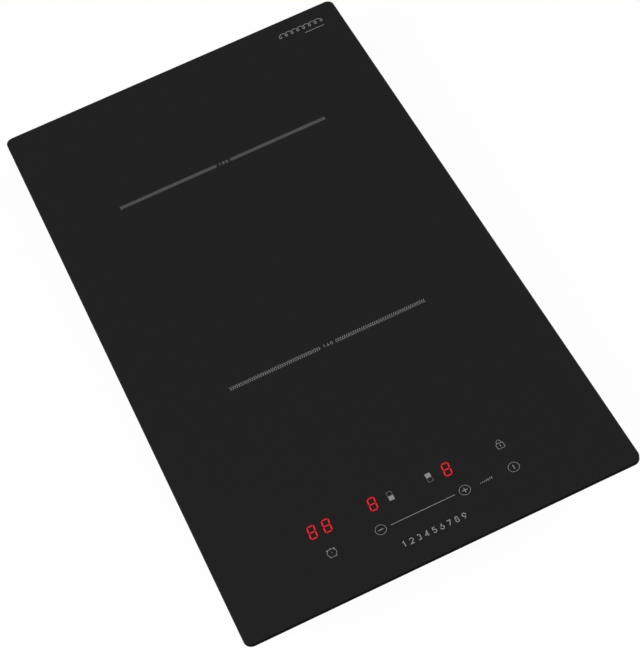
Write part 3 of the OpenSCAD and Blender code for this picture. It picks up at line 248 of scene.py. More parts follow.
def line(path, width, height, closed=False):
    """A flat printed line along a path on the glass.

    Each point of the path is moved half a width to either side along its mitre, which is the sum of
    the unit normals of the stretches that meet there, over one plus their dot product. The four
    corners of the section are those two points, low and high.
    """
    path = np.asarray(path, float)
    step = (np.roll(path, -1, axis=0) - path) if closed else np.diff(path, axis=0)
    normal = np.stack([-step[:, 1], step[:, 0]], axis=1) / np.linalg.norm(step, axis=1)[:, None]
    if closed:
        before, after = np.roll(normal, 1, axis=0), normal
    else:
        before, after = np.vstack([normal[:1], normal]), np.vstack([normal, normal[-1:]])
    mitre = (before + after) / (1 + (before * after).sum(axis=1))[:, None]
    left, right = path + mitre * width / 2, path - mitre * width / 2
    low, high = GLASS_Z + CLEAR, GLASS_Z + height
    corners = [(right, low), (left, low), (left, high), (right, high)]
    sections = np.stack([np.column_stack([p, np.full(len(p), z)]) for p, z in corners], axis=1)
    return swept(sections, wrap=closed)


def rounded_outline(low, high, radius, corner=8, along=40):
    """Points round a rectangle with rounded corners, anticlockwise from the middle of its rear side.

    A corner is an arc of the radius about a centre that lies the radius inside both of its sides.
    Between two arcs the points are spread evenly along the side.
    """
    x, y = high[0] - radius, high[1] - radius
    x0, y0 = low[0] + radius, low[1] + radius
    arcs = [
        arc(centre, radius, start, start + 90, corner)
        for centre, start in (((x0, y), 90), ((x0, y0), 180), ((x, y0), 270), ((x, y), 0))
    ]
    middle = np.array([((low[0] + high[0]) / 2, high[1])])
    stops = [middle, *arcs, middle]
    spread = np.linspace(0, 1, along + 2)[1:-1, None]
    sides = [a[-1] + (b[0] - a[-1]) * spread for a, b in zip(stops, stops[1:])]
    return np.vstack([part for pair in zip(stops, sides) for part in pair] + [middle])


def joined(shapes):
    """Several (points, faces) shapes as one, with the faces numbered on."""
    points, faces, start = [], [], 0
    for p, f in shapes:
        points.append(p)
        faces += [[start + i for i in face] for face in f]
        start += len(p)
    return np.vstack(points), faces


def add_piece(name, shape, material, body="root", smooth=False):
    """A mesh object of a (points, faces) shape that rides on a body."""
    mesh = bpy.data.meshes.new(name)
    mesh.from_pydata(shape[0].tolist(), [], shape[1])
    mesh.validate()
    mesh.polygons.foreach_set("use_smooth", [smooth] * len(mesh.polygons))
    mesh.materials.append(material)
    piece = bpy.data.objects.new(name, mesh)
    bpy.context.scene.collection.objects.link(piece)
    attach(piece, body)
    return piece


# ---- Materials ----

# Kinds of pattern, each as a texture node, its settings and the output that is read. A pattern's
# scale stays 1, because patterned_finish measures the place in pattern sizes.
CLOUDS = ("ShaderNodeTexNoise", {"Scale": 1.0, "Detail": 3.0, "Roughness": 0.55}, "Fac")
FIBRES = ("ShaderNodeTexNoise", {"Scale": 1.0, "Detail": 5.0, "Roughness": 0.6}, "Fac")
PORES = ("ShaderNodeTexVoronoi", {"Scale": 1.0}, "Distance")
CRYSTALS = ("ShaderNodeTexVoronoi", {"Scale": 1.0}, "Color")
LAYERS = ("ShaderNodeTexWave", {"Scale": 0.31, "Distortion": 0.0, "bands_direction": "Z"}, "Fac")
GROOVES = ("ShaderNodeTexWave", {"Scale": 0.31, "Distortion": 0.0, "bands_direction": "X"}, "Fac")
STRANDS = ("ShaderNodeTexWave", {"Scale": 0.5, "Distortion": 1.5, "bands_direction": "DIAGONAL"}, "Fac")
BRAID = ("ShaderNodeTexChecker", {"Scale": 1.0}, "Fac")
TRACKS = (
    "ShaderNodeTexBrick",
    {"Scale": 1.0, "Mortar Size": 0.08, "Brick Width": 0.9, "Row Height": 0.16},
    "Fac",
)
# Settings of a shader for any metal, and for a lamp, which sends back next to none of the room's light
METAL = {"Metallic": 1.0}
LIT = {
    "Base Color": (0.01, 0.0, 0.0, 1), "Roughness": 0.3, "Specular IOR Level": 0.0,
    "Emission Strength": 1.0,
}


def set_up(node, settings):
    """Gives a node values for its input sockets, by name or number, or for its own settings."""
    for key, value in settings.items():
        if isinstance(key, int) or key in node.inputs:
            node.inputs[key].default_value = value
        else:
            setattr(node, key, value)
    return node


def add_node(tree, kind, settings=None, links=None):
    """Adds one node with its settings, and links its inputs from other nodes' outputs."""
    node = set_up(tree.nodes.new(kind), settings or {})
    for key, source in (links or {}).items():
        tree.links.new(source, node.inputs[key])
    return node


def plain_finish(name, settings):
    """A material of one Principled shader with constant values, its tree and that shader."""
    material = bpy.data.materials.new(name)
    material.use_nodes = True
    tree = material.node_tree
    return material, tree, set_up(tree.nodes["Principled BSDF"], settings)


def measured(tree, pattern, size, stretch=(1, 1, 1)):
    """A pattern's value, read at the object coordinates over size metres times stretch."""
    kind, settings, output = pattern
    place = add_node(tree, "ShaderNodeTexCoord").outputs["Object"]
    scale = tuple(1 / (size * s) for s in stretch)
    place = add_node(tree, "ShaderNodeMapping", {"Scale": scale}, {"Vector": place}).outputs[0]
    return add_node(tree, kind, settings, {"Vector": place}).outputs[output]


def blended(tree, socket, value, first, second):
    """Links a colour to a socket: the first where a value is 0, the second where it is 1."""
    mixed = add_node(
        tree, "ShaderNodeMix", {"data_type": "RGBA", 6: (*first, 1), 7: (*second, 1)}, {0: value}
    )
    tree.links.new(mixed.outputs[2], socket)


def patterned_finish(name, pattern, size, tones, roughness, span=(0.3, 0.7), stretch=(1, 1, 1),
                     relief=0.0, grain=None, settings=None):
    """A material whose colour and roughness follow one pattern, with fine relief.

    While the pattern goes over its span, the colour goes from the first hex tone to the second, and
    the roughness from its first value to its second. Relief is the pattern's own depth in metres.
    Grain, given instead as a size and a depth in metres, is a second and finer pattern for the relief.
    """
    material, tree, shader = plain_finish(name, settings or {})
    value = measured(tree, pattern, size, stretch)
    ranged = add_node(
        tree, "ShaderNodeMapRange", {"From Min": span[0], "From Max": span[1]}, {"Value": value}
    ).outputs[0]
    blended(tree, shader.inputs["Base Color"], ranged, linear(tones[0]), linear(tones[1]))
    rough = add_node(
        tree, "ShaderNodeMapRange", {"To Min": roughness[0], "To Max": roughness[1]}, {"Value": ranged}
    )
    tree.links.new(rough.outputs[0], shader.inputs["Roughness"])
    if grain:
        value, relief = measured(tree, CLOUDS, grain[0]), grain[1]
    if relief:
        bump = add_node(tree, "ShaderNodeBump", {"Distance": relief}, {"Height": value})
        tree.links.new(bump.outputs["Normal"], shader.inputs["Normal"])
    return material


def shades(tone, spread):
    """A tone made darker and then lighter by a share of itself."""
    return [[c * (1 + side * spread) for c in tone] for side in (-1, 1)]


def glass_ceramic(settings):
    """Rolled and polished black glass-ceramic: a clear mirror, with a greyer bevel and a near black side,
    whose extra darkness is painted shade.

    The polish is a full coat on the top face alone, and a trace of one on the bevel and the side.
    Height tells the three apart: the face is the last hundredth of a millimetre, the bevel lies
    below it, and the side below that.
    """
    material, tree, shader = plain_finish("black_glass_ceramic", {
        "Specular IOR Level": 0.0, "Coat Roughness": settings.polish, "Coat IOR": 1.53,
    })
    place = add_node(tree, "ShaderNodeTexCoord").outputs["Object"]
    height = add_node(tree, "ShaderNodeSeparateXYZ", links={0: place}).outputs["Z"]
    face = add_node(
        tree, "ShaderNodeMapRange", {"From Min": GLASS_Z - 0.03 * MM, "From Max": GLASS_Z - 0.01 * MM},
        {"Value": height},
    ).outputs[0]
    coat = add_node(tree, "ShaderNodeMapRange", {"To Min": 0.06, "To Max": 1.0}, {"Value": face})
    tree.links.new(coat.outputs[0], shader.inputs["Coat Weight"])
    bevel_start, soft = GLASS_Z - settings.bevel_height, 0.02 * MM
    above_shaded_side = add_node(
        tree, "ShaderNodeMapRange", {"From Min": bevel_start - soft, "From Max": bevel_start + soft},
        {"Value": height},
    ).outputs[0]
    # below the bevel the side takes its near black colour, which is painted shade along the plate's edge
    whole = add_node(tree, "ShaderNodeMix", {"data_type": "RGBA", 7: (*settings.body, 1)}, {0: face})
    blended(tree, whole.inputs[6], above_shaded_side, settings.side, settings.bevel)
    tree.links.new(whole.outputs[2], shader.inputs["Base Color"])
    # a trace of cloudiness in the melt, 30 mm across and too weak to see straight on
    cloud = measured(tree, CLOUDS, 30 * MM)
    rough = add_node(tree, "ShaderNodeMapRange", {"To Min": 0.42, "To Max": 0.55}, {"Value": cloud})
    tree.links.new(rough.outputs[0], shader.inputs["Roughness"])
    return material


def fired_enamel(settings):
    """Grey ceramic ink, screen printed and fired: matt, with a faint grain of its own.

    The real grain is a few hundredths of a millimetre, and is drawn at 0.25 mm so that it shows.
    """
    material, tree, shader = plain_finish("fired_grey_enamel", {"Roughness": 0.55})
    grain = measured(tree, CLOUDS, 0.25 * MM)
    blended(tree, shader.inputs["Base Color"], grain, *shades(settings.ink, 0.1))
    return material


def lit_segment(settings):
    """Red light-emitting segment seen through dark glass: brighter along its middle than at its rim."""
    material, tree, shader = plain_finish("lit_red_segment", LIT)
    core = add_node(tree, "ShaderNodeAttribute", {"attribute_name": "core"}).outputs["Fac"]
    blended(tree, shader.inputs["Emission Color"], core, settings.rim, settings.core)
    return material


def red_glow(settings):
    """Dark red scattered in the glass round a lit segment: uneven, and fainter than the segment."""
    material, tree, shader = plain_finish("red_glow_in_glass", LIT)
    cloud = measured(tree, CLOUDS, 2 * MM)
    blended(tree, shader.inputs["Emission Color"], cloud, *shades(settings.glow, 0.2))
    return material


def galvanised_sheet():
    """Hot-dip galvanised steel: frosty crystals 5 mm across, each with a tone and shine of its own."""
    return patterned_finish(
        "galvanised_sheet", CRYSTALS, 5 * MM, ("A4A8AA", "B8BBBD"), (0.4, 0.54), (0.2, 0.8),
        grain=(0.8 * MM, 0.005 * MM), settings=METAL,
    )


def zinc_plated_steel():
    """Bright zinc plating over turned or pressed steel: bluish, with cloudy patches of duller film."""
    return patterned_finish(
        "zinc_plated_steel", CLOUDS, 2.5 * MM, ("B4B9C0", "CACDD0"), (0.24, 0.36), settings=METAL
    )


def rolled_aluminium():
    """Mill-finish aluminium sheet: rolling lines from front to back.

    The real lines are under 0.1 mm wide, and are drawn at 0.5 mm so that they show.
    """
    return patterned_finish(
        "rolled_aluminium", CLOUDS, 0.5 * MM, ("C2C4C6", "D6D7D8"), (0.3, 0.42), stretch=(1, 60, 1),
        relief=0.003 * MM, settings=METAL,
    )


def extruded_aluminium():
    """Extruded heat sink: fine die lines along the whole length of its fins."""
    return patterned_finish(
        "extruded_aluminium", CLOUDS, 0.35 * MM, ("ABAEB1", "C6C8CA"), (0.35, 0.5), stretch=(1, 200, 1),
        settings=METAL,
    )


def spring_steel():
    """Phosphated spring wire: dull grey, with a slightly oily film."""
    return patterned_finish(
        "spring_steel", CLOUDS, 1.5 * MM, ("7F8285", "9A9C9E"), (0.3, 0.45), settings=METAL
    )


def gold_plated_spring():
    """Touch springs of gold-plated bronze wire: warm and bright, with a thin uneven film."""
    return patterned_finish(
        "gold_plated_spring", CLOUDS, 1 * MM, ("D9B25A", "E7C878"), (0.2, 0.32), settings=METAL
    )


def turned_brass():
    """Turned brass terminal screws: yellow, with the tool's fine rings across them."""
    return patterned_finish(
        "turned_brass", CLOUDS, 0.2 * MM, ("C2A25A", "D8BC76"), (0.25, 0.4), stretch=(20, 20, 1),
        settings=METAL,
    )


def sintered_bronze():
    """Oil-soaked sintered bronze bearing: brown, with open pores that look darker and duller."""
    return patterned_finish(
        "sintered_bronze", PORES, 0.3 * MM, ("7A5A36", "A5804F"), (0.6, 0.4), (0.1, 0.6),
        relief=0.05 * MM, settings=METAL,
    )


def laminated_iron():
    """Stacked laminations of the fan's stator, 0.5 mm thick: a thin dark line between each two."""
    return patterned_finish(
        "laminated_iron", LAYERS, 0.5 * MM, ("4A4B4D", "7B7D80"), (0.55, 0.4), (0.1, 0.6),
        settings=METAL,
    )


def twisted_litz():
    """Copper litz: enamelled strands twisted together, seen as fine slanting lines.

    The real strands are 0.2 mm, and are drawn at 0.6 mm so that they show.
    """
    return patterned_finish(
        "twisted_litz", STRANDS, 0.6 * MM, ("7C3F1E", "C4703C"), (0.5, 0.32), (0.2, 0.8),
        relief=0.1 * MM, settings=METAL,
    )


def enamelled_winding():
    """Solid copper wire under clear amber enamel, which gives a second and softer shine."""
    return patterned_finish(
        "enamelled_winding", CLOUDS, 0.6 * MM, ("8E4A22", "B9652F"), (0.25, 0.4), stretch=(1, 1, 4),
        settings={"Metallic": 1.0, "Coat Weight": 0.5, "Coat Roughness": 0.15},
    )


def black_plastic():
    """Glass-filled black polyester from a spark-eroded mould: matt, with a fine even grain."""
    return patterned_finish(
        "black_polyester", CLOUDS, 18 * MM, ("141415", "1B1B1C"), (0.45, 0.55),
        grain=(0.4 * MM, 0.03 * MM),
    )


def white_plastic():
    """Natural heat-resistant polyester of the coil formers: warm off-white, faintly waxy."""
    return patterned_finish(
        "white_polyester", CLOUDS, 18 * MM, ("DAD7CD", "E6E3DA"), (0.4, 0.5), grain=(0.5 * MM, 0.02 * MM),
        settings={"Subsurface Weight": 0.05},
    )


def black_rubber():
    """Black rubber of the cable grommet: dull, with a faint grey bloom."""
    return patterned_finish(
        "black_rubber", CLOUDS, 6 * MM, ("101011", "1A1A1B"), (0.62, 0.74), grain=(0.6 * MM, 0.03 * MM)
    )


def black_epoxy():
    """Moulded epoxy cases of the transistors and the rectifier: charcoal, slightly glossy."""
    return patterned_finish(
        "moulded_epoxy", CLOUDS, 4 * MM, ("18181A", "202022"), (0.36, 0.48), grain=(0.25 * MM, 0.01 * MM)
    )


def capacitor_case():
    """Yellow polypropylene boxes of the film capacitors: smooth, with a soft shine."""
    return patterned_finish(
        "capacitor_case", CLOUDS, 12 * MM, ("CFA62A", "DDB941"), (0.3, 0.4), grain=(0.8 * MM, 0.01 * MM)
    )


def display_case():
    """Cast resin bodies of the digits: near black and half matt."""
    return patterned_finish(
        "display_case", CLOUDS, 8 * MM, ("161618", "26262A"), (0.34, 0.46), grain=(0.4 * MM, 0.01 * MM)
    )


def lamp_lens():
    """Milky epoxy of the small lamps, which lets light into its surface."""
    return patterned_finish(
        "lamp_lens", CLOUDS, 2 * MM, ("E8E4DC", "F2EFE8"), (0.2, 0.3), settings={"Subsurface Weight": 0.1}
    )


def mixed_cases():
    """Relays, coils and small capacitors: every 22 mm or so of the board has a case colour of its own."""
    return patterned_finish(
        "board_part_cases", CRYSTALS, 22 * MM, ("1C1D20", "3C4A63"), (0.36, 0.48), (0.2, 0.8),
        grain=(0.5 * MM, 0.01 * MM),
    )


def cut_foam():
    """Closed-cell foam of the seal: charcoal and quite dull, full of pores 0.7 mm across."""
    return patterned_finish(
        "closed_cell_foam", PORES, 0.7 * MM, ("141415", "2A2A2B"), (0.98, 0.88), (0.1, 0.6),
        relief=0.15 * MM, settings={"Specular IOR Level": 0.2},
    )


def pressed_mica():
    """Pressed mica sheet: pale gold flakes 6 mm across, each with a silky shine of its own."""
    return patterned_finish(
        "pressed_mica", CRYSTALS, 6 * MM, ("A89A7C", "CFC3A6"), (0.22, 0.5), (0.2, 0.8)
    )


def fibre_felt():
    """White ceramic fibre felt: matted fibres that lie mostly one way, with a dry and soft surface.

    The real fibres are a few hundredths of a millimetre, and are drawn at 0.6 mm so that they show.
    """
    return patterned_finish(
        "ceramic_felt", FIBRES, 0.6 * MM, ("D2CEC2", "F0EDE5"), (0.98, 0.9), stretch=(6, 1, 1),
        relief=0.2 * MM, settings={"Sheen Weight": 0.3},
    )


def sintered_ferrite():
    """Sintered ferrite bars: charcoal and stony, with grit 0.5 mm across."""
    return patterned_finish(
        "sintered_ferrite", PORES, 0.5 * MM, ("27282A", "3D3F42"), (0.6, 0.5), (0.1, 0.6),
        relief=0.02 * MM,
    )


def green_board():
    """Green solder mask of the control board, lighter where copper tracks lie under it."""
    return patterned_finish(
        "green_fibreglass_board", TRACKS, 14 * MM, ("12502F", "2E7A4C"), (0.34, 0.26), (0.0, 1.0),
        relief=0.035 * MM,
    )


def brown_board():
    """Natural brown paper board of the power electronics, lighter where copper tracks lie under it."""
    return patterned_finish(
        "brown_paper_board", TRACKS, 14 * MM, ("7A4E24", "A87942"), (0.38, 0.28), (0.0, 1.0),
        relief=0.035 * MM,
    )


def braided_sleeve():
    """Braided glass-fibre sleeve of the hot leads: dull white, with crossing threads 0.7 mm wide."""
    return patterned_finish(
        "braided_sleeve", BRAID, 0.7 * MM, ("B9B5AA", "DDD9CF"), (0.75, 0.65), (0.0, 1.0),
        relief=0.08 * MM,
    )


def ribbon_cable():
    """Flat grey ribbon cable: a fine groove every 1.27 mm, between neighbouring wires."""
    return patterned_finish(
        "ribbon_cable", GROOVES, 1.27 * MM, ("6E7174", "A4A6A8"), (0.56, 0.46), (0.05, 0.5),
        relief=0.2 * MM,
    )


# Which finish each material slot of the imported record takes
FINISHES = {
    "foam_seal": cut_foam,
    "galvanised_sheet": galvanised_sheet,
    "zinc_steel": zinc_plated_steel,
    "black_plastic": black_plastic,
    "black_rubber": black_rubber,
    "aluminium_sheet": rolled_aluminium,
    "mica": pressed_mica,
    "ceramic_felt": fibre_felt,
    "copper_litz": twisted_litz,
    "white_plastic": white_plastic,
    "ferrite": sintered_ferrite,
    "spring_steel": spring_steel,
    "green_board": green_board,
    "display_body": display_case,
    "gold_spring": gold_plated_spring,
    "led_body": lamp_lens,
    "brown_board": brown_board,
    "aluminium_profile": extruded_aluminium,
    "black_epoxy": black_epoxy,
    "yellow_capacitor": capacitor_case,
    "copper_winding": enamelled_winding,
    "board_part_mix": mixed_cases,
    "brass_screw": turned_brass,
    "motor_iron": laminated_iron,
    "bronze": sintered_bronze,
    "wire_sleeve": braided_sleeve,
    "ribbon_sleeve": ribbon_cable,
}


def foam_strip(settings, low, high):
    """A foam strip laid round the plate's underside, with its two ends in the middle of the rear side.

    A section is a rounded box: across it goes a half plus half the cosine, and up it half plus half
    the sine, of the angle round the section, each raised to 2 over an exponent, which is 8 for the
    flat glued top and 3 for the soft cut underside. Its points lie between the inner and the outer
    outline. The underside rises and falls by a sum of two sines of the length along the strip, and
    the two ends are rounded off and a hairline apart.
    """
    inner_low = np.array(low) + settings.seal_width
    inner_high = np.array(high) - settings.seal_width
    outer = rounded_outline(low, high, settings.seal_corner)
    inner = rounded_outline(inner_low, inner_high, settings.seal_inner_corner)
    for path in (outer, inner):
        path[0, 0] -= settings.seal_joint / 2
        path[-1, 0] += settings.seal_joint / 2
    far = np.concatenate([[0.0], np.cumsum(np.linalg.norm(np.diff(outer, axis=0), axis=1))])
    long_wave, short_wave = 61 * MM, 23.7 * MM
    turns = far * 2 * math.pi
    wave = 0.5 + 0.25 * (np.sin(turns / long_wave) + np.sin(turns / short_wave + 1.0))
    angle = np.linspace(0, 2 * math.pi, 24, endpoint=False)
    power = np.where(np.sin(angle) > 0, 2 / 8, 2 / 3)
    across = 0.5 + 0.5 * np.sign(np.cos(angle)) * np.abs(np.cos(angle)) ** power
    up = 0.5 + 0.5 * np.sign(np.sin(angle)) * np.abs(np.sin(angle)) ** power
    flat = inner[:, None] + (outer - inner)[:, None] * across[None, :, None]
    bottom = low.z + settings.seal_wave * wave
    height = bottom[:, None] + (high.z - bottom)[:, None] * up[None, :]
    sections = np.concatenate([flat, height[..., None]], axis=2)
    for end in (0, -1):
        middle = sections[end].mean(axis=0)
        smaller = (1, 0.93, 0.8)
        sections[end] = middle + (sections[end] - middle) * smaller
    return swept(sections)


def felt_ring(settings, centre, radius, low_z, high_z):
    """A pad of felt with a round hole, on a coil.

    A section is a rounded box about the middle of the ring, half the ring's width and half its height
    times the cosine and sine of the angle round it, raised to 2 over 5. The upper half sinks by a sum
    of two sines of the angle round the ring and of the place across it, as hand-cut felt does.
    """
    turn = np.linspace(0, 2 * math.pi, 120, endpoint=False)[:, None]
    angle = np.linspace(0, 2 * math.pi, 32, endpoint=False)[None, :]
    power = 2 / 5
    across = np.sign(np.cos(angle)) * np.abs(np.cos(angle)) ** power
    up = np.sign(np.sin(angle)) * np.abs(np.sin(angle)) ** power
    half = (radius - settings.pad_hole) / 2
    r = settings.pad_hole + half * (1 + across) + 0 * turn
    waves = np.sin(3 * turn + 4 * across) + np.sin(8 * turn - 3 * across)
    sink = settings.pad_wave * (0.5 + 0.25 * waves)
    z = (low_z + high_z) / 2 + (high_z - low_z) / 2 * up - sink * np.clip(up, 0, 1)
    # round the ring anticlockwise and down its outside, so that the faces point outwards
    sections = np.stack([centre[0] + r * np.cos(turn), centre[1] + r * np.sin(turn), z], axis=2)
    return swept(sections[:, ::-1], wrap=True)


def enamel_material():
    """The one enamel of all prints, made on first use."""
    return bpy.data.materials.get("fired_grey_enamel") or fired_enamel(bpy.context.scene.cooktop_print)


def print_piece(name, strokes):
    """A printed mark of several lines, each given as (path, width) or (path, width, closed)."""
    height = bpy.context.scene.cooktop_print.ink_height
    shapes = [line(s[0], s[1], height, *s[2:]) for s in strokes]
    return add_piece(name, joined(shapes), enamel_material())


def square(centre, side, width):
    """A filled or outlined square: one broad stroke, or a closed line inside the side's length."""
    x, y = centre
    if width is None:
        return ([(x, y - side / 2), (x, y + side / 2)], side)
    h = (side - width) / 2
    return ([(x - h, y - h), (x + h, y - h), (x + h, y + h), (x - h, y + h)], width, True)


def ring(centre, radius, width, steps=48):
    """A closed circular line."""
    return (arc(centre, radius, 0, 360 * (steps - 1) / steps, steps), width, True)


# Strokes of the plain numerals in a cell of this width and a height of 1, as lines and arcs
CELL_WIDTH = 0.6
NUMERALS = {
    "0": [(arc((0.3, 0.5), 1, 0, 345, 24) * (0.3, 0.5) + (0.21, 0.25), True)],
    "1": [(np.array([(0.12, 0.78), (0.36, 1.0), (0.36, 0.0)]), False)],
    "2": [(np.vstack([arc((0.3, 0.7), 0.3, 160, -35, 12), [(0.0, 0.0), (0.6, 0.0)]]), False)],
    "3": [
        (arc((0.28, 0.75), 0.25, 145, -90, 12), False),
        (arc((0.28, 0.26), 0.26, 90, -145, 12), False),
    ],
    "4": [(np.array([(0.44, 0.0), (0.44, 1.0), (0.0, 0.28), (0.6, 0.28)]), False)],
    "5": [(
        np.vstack([[(0.54, 1.0), (0.12, 1.0), (0.07, 0.56)], arc((0.27, 0.32), 0.31, 125, -145, 14)]),
        False,
    )],
    "6": [
        (arc((0.3, 0.3), 0.3, 0, 345, 24), True),
        (np.array([(0.44, 1.0), (0.12, 0.6), (0.01, 0.36)]), False),
    ],
    "7": [(np.array([(0.0, 1.0), (0.6, 1.0), (0.2, 0.0)]), False)],
    "8": [(arc((0.3, 0.77), 0.23, 0, 345, 20), True), (arc((0.3, 0.27), 0.27, 0, 345, 24), True)],
    "9": [
        (arc((0.3, 0.7), 0.3, 0, 345, 24), True),
        (np.array([(0.16, 0.0), (0.48, 0.4), (0.59, 0.64)]), False),
    ],
}


def figures(text, centre, height, pitch, width):
    """Plain numerals in a row about a centre, pitch apart, as strokes."""
    strokes = []
    for i, char in enumerate(text):
        x = centre[0] + (i - (len(text) - 1) / 2) * pitch - CELL_WIDTH / 2 * height
        corner = np.array([x, centre[1] - height / 2])
        strokes += [(corner + path * height, width, closed) for path, closed in NUMERALS[char]]
    return strokes


def zone_line(settings, name, coil_box, number):
    """The line across a cooking zone: chevrons that point to the middle, and the zone's width there.

    A chevron's tip lies in front of its two ends by the slant times half its height. The line ends
    a little outside the coil, where the cooking zone ends.
    """
    low, high = coil_box
    middle = (low.y + high.y) / 2
    reach = (high.x - low.x) / 2 + settings.zone_reach
    half, slant = (settings.chevron_height - settings.chevron_line) / 2, 0.6
    strokes = []
    for side in (-1, 1):
        for tip in np.arange(settings.zone_gap, reach, settings.chevron_pitch):
            back = side * (tip + half * slant)
            chevron = [(back, middle + half), (side * tip, middle), (back, middle - half)]
            strokes.append((chevron, settings.chevron_line))
    pitch, thin = 2.9 * MM, 0.34 * MM
    strokes += figures(number, (0.0, middle), settings.zone_number, pitch, thin)
    return print_piece(name, strokes)


def seven_segments(settings, centre, glow=False):
    """The seven segments of one lit digit, each a six-cornered bar with a raised core.

    Rows of a bar go from its outline on the glass, up its side, to a narrower outline on top; the
    core value rises from 0 on the outline to 1 on the top. The glow of a bar is a lower and wider
    bar round it.
    """
    w = settings.segment
    half_w, half_h = (settings.digit_width - w) / 2, (settings.digit_height - w) / 2
    upright, across = half_h - settings.gap, 2 * half_w - settings.gap
    bars = [(x, y * half_h / 2, upright, False) for x in (-half_w, half_w) for y in (-1, 1)]
    bars += [(0.0, y * half_h, across, True) for y in (-1, 0, 1)]
    # height above the glass, growth of the outline to every side, and core value of each row
    levels = ((CLEAR, 0.0, 0.0), (3 * CLEAR, 0.0, 0.0), (6 * CLEAR, -0.33 * w, 1.0))
    if glow:
        reach = settings.glow_reach
        levels = ((0.4 * CLEAR, reach, 0.0), (0.8 * CLEAR, reach, 0.0))
    shapes, core = [], []
    for x, y, span, flat in bars:
        rows = []
        for height, growth, value in levels:
            a, b = w / 2 + growth, span / 2 + growth
            outline = np.array([(0, b), (-a, b - a), (-a, a - b), (0, -b), (a, a - b), (a, b - a)])
            if flat:
                outline = np.stack([outline[:, 1], -outline[:, 0]], axis=1)
            outline = outline + (x, y)
            outline[:, 0] += outline[:, 1] * math.tan(settings.lean)
            rows.append(np.column_stack([outline + centre, np.full(6, GLASS_Z + height)]))
            core += [value] * 6
        shapes.append(swept(np.stack(rows)))
    return joined(shapes), core


# ---- Operators ----


class COOKTOP_OT_dress_glass(bpy.types.Operator):
    """Give the glass plate its polished face and ground edge"""

    bl_idname = "cooktop.dress_glass"
    bl_label = "Glass plate"

    def execute(self, context):
        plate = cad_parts["glass_top"]
        plate.material_slots[0].material = glass_ceramic(context.scene.cooktop_glass)
        return {"FINISHED"}


class COOKTOP_OT_dress_solids(bpy.types.Operator):
    """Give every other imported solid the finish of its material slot"""

    bl_idname = "cooktop.dress_solids"
    bl_label = "Packed solids"

    def execute(self, context):
        made = {}
        for name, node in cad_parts.items():
            if name == "glass_top":
                continue
            for place in node.material_slots:
                slot = place.material.name.split(".")[0]
                if slot not in FINISHES:
                    raise RuntimeError(f"{name} has a material slot with no finish: {slot}")
                made[slot] = made.get(slot) or FINISHES[slot]()
                place.material = made[slot]
        return {"FINISHED"}


class COOKTOP_OT_lay_seal(bpy.types.Operator):
    """Lay the foam strip that seals the plate's edge against the worktop"""

    bl_idname = "cooktop.lay_seal"
    bl_label = "Foam seal"

    def execute(self, context):
        strip = foam_strip(context.scene.cooktop_soft, *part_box("edge_seal"))
        foam = bpy.data.materials["closed_cell_foam"]
        piece = add_piece("foam_strip", strip, foam, smooth=True)
        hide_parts("edge_seal")
        return {"FINISHED"}


class COOKTOP_OT_lay_felt(bpy.types.Operator):
    """Lay a felt pad on each coil"""

    bl_idname = "cooktop.lay_felt"
    bl_label = "Felt pads"

    def execute(self, context):
        s = context.scene.cooktop_soft
        low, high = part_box("felt_pads")
        pads = []
        for coil in ("coil_front", "coil_rear"):
            coil_low, coil_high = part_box(coil)
            centre = (0.0, (coil_low.y + coil_high.y) / 2)
            edge = high.y if coil == "coil_rear" else low.y
            pads.append(felt_ring(s, centre, abs(edge - centre[1]), low.z, high.z))
        felt = bpy.data.materials["ceramic_felt"]
        piece = add_piece("felt_rings", joined(pads), felt, smooth=True)
        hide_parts("felt_pads")
        return {"FINISHED"}


class COOKTOP_OT_print_zones(bpy.types.Operator):
    """Print the line of chevrons across each cooking zone"""

    bl_idname = "cooktop.print_zones"
    bl_label = "Zone lines"

    def execute(self, context):
        settings = context.scene.cooktop_print
        zone_line(settings, "front_zone_line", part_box("coil_front"), "160")
        zone_line(settings, "rear_zone_line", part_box("coil_rear"), "180")
        return {"FINISHED"}


